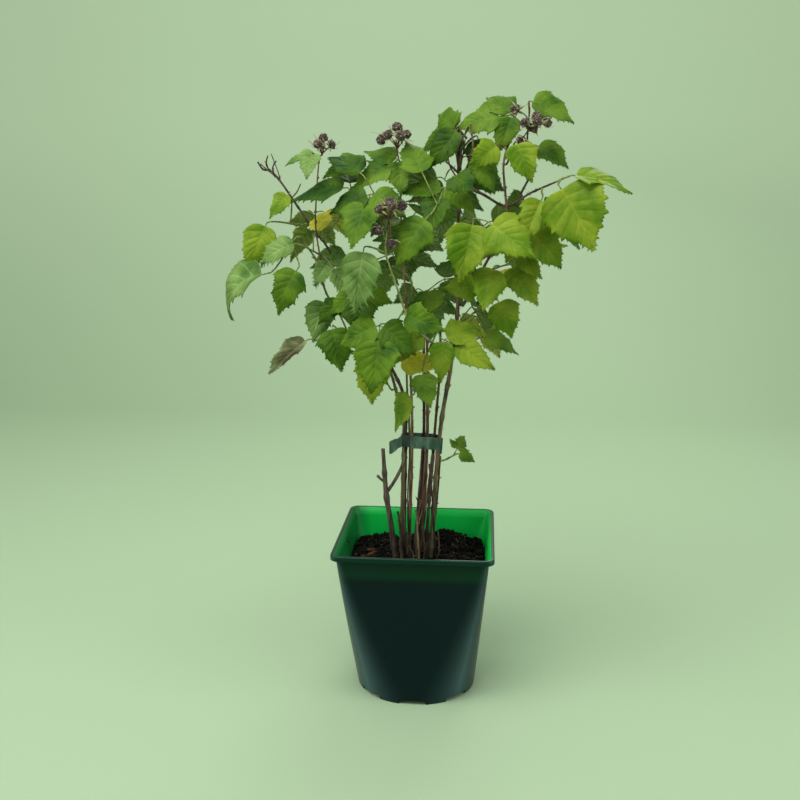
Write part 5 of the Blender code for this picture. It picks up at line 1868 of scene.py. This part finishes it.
tape = Heap()
rings = [point for step in range(TIE_STEPS) for point in tape_ring(2 * math.pi * step / TIE_STEPS)]
loop = grid_faces(TIE_STEPS, TIE_SIDES)
last = (TIE_STEPS - 1) * TIE_SIDES
seam = np.array([[last + k, last + (k + 1) % TIE_SIDES, (k + 1) % TIE_SIDES, k] for k in range(TIE_SIDES)])
turns = np.cos(2 * math.pi * loop[:, 0] / TIE_SIDES / TIE_STEPS)
in_shade = (turns > 0.62) | ((turns < -0.5) & (turns > -0.86))
tape.add(rings, (loop[~in_shade][:, ::-1], 0), (loop[in_shade][:, ::-1], 2), (seam[:, ::-1], 2))
print("tape:", TIE_HIGH - TIE_LOW, "mm wide, in", len(loop) + len(seam), "faces")

# %% [markdown]
# The pinched ends stand out to the left and droop a little. Two wire staples hold them. The tape is a soft
# green plastic with streaks along it, and the folds that turn away from the light take a darker green.

# %% Tape ends and finishes
TAIL_LENGTH = 9
TAIL_STEPS = 7
TAIL_DROOP = 6.5


def tape_tail(root, side_shift, length, lean):
    """One pinched end of the tape: a flat strip, a little twisted, with a cut end."""
    rows = []
    for step in range(TAIL_STEPS):
        share = step / (TAIL_STEPS - 1)
        out = Matrix.Rotation(math.radians(14 + lean * share), 3, "Z") @ Vector((-1, 0, 0))
        drop = Vector((0, side_shift * (1 + share), -TAIL_DROOP * share))
        middle = root + (out * length * share + drop) * MM
        squeeze = 1 - 0.22 * math.exp(-((share - 0.3) / 0.16) ** 2)
        tall = (TIE_HIGH - TIE_LOW + 1) * squeeze + 1.2 * share
        for rise, thick in ((-0.5, -0.35), (-0.5, 0.35), (0.5, 0.35), (0.5, -0.35)):
            rows.append(middle + Vector((0, thick, tall * rise)) * MM)
    end = 4 * (TAIL_STEPS - 1)
    caps = np.array([[3, 2, 1, 0], [end, end + 1, end + 2, end + 3]])
    tape.add(rows, (grid_faces(TAIL_STEPS, 4), 0), (caps, 0))


tail_root = tape_point((TIE_LOW + TIE_HIGH) / 2 * MM, math.pi * 1.08, GAP)
tape_tail(tail_root, -0.5, TAIL_LENGTH + 4, 3)
tape_tail(tail_root, -1.4, TAIL_LENGTH + 2, -3)
for rise in (-1.8, 1.8):
    start = tail_root + Vector((-2.6, -2.4, rise)) * MM
    bark_tube(tape, [start, start + Vector((-3.2, -0.4, 0)) * MM], [0.3 * MM, 0.3 * MM], 6, 1)
tape_green = two_tone("tape_green", srgb(34, 68, 54), srgb(84, 114, 96), 0.36, 220, 500, 0.6, (1, 1, 0.25))
tape_shade = two_tone("tape_shade", srgb(10, 30, 25), srgb(30, 54, 46), 0.4, 220, 500, 0.6, (1, 1, 0.25))
staple_steel = Finish("staple_steel", 0.35)
staple_steel.put("Base Color", srgb(150, 150, 148))
staple_steel.put("Metallic", 1)
tape.piece("tie_tape_band", [tape_green, staple_steel.material, tape_shade], ["tie"], "tie_tape", 40)

# %% [markdown]
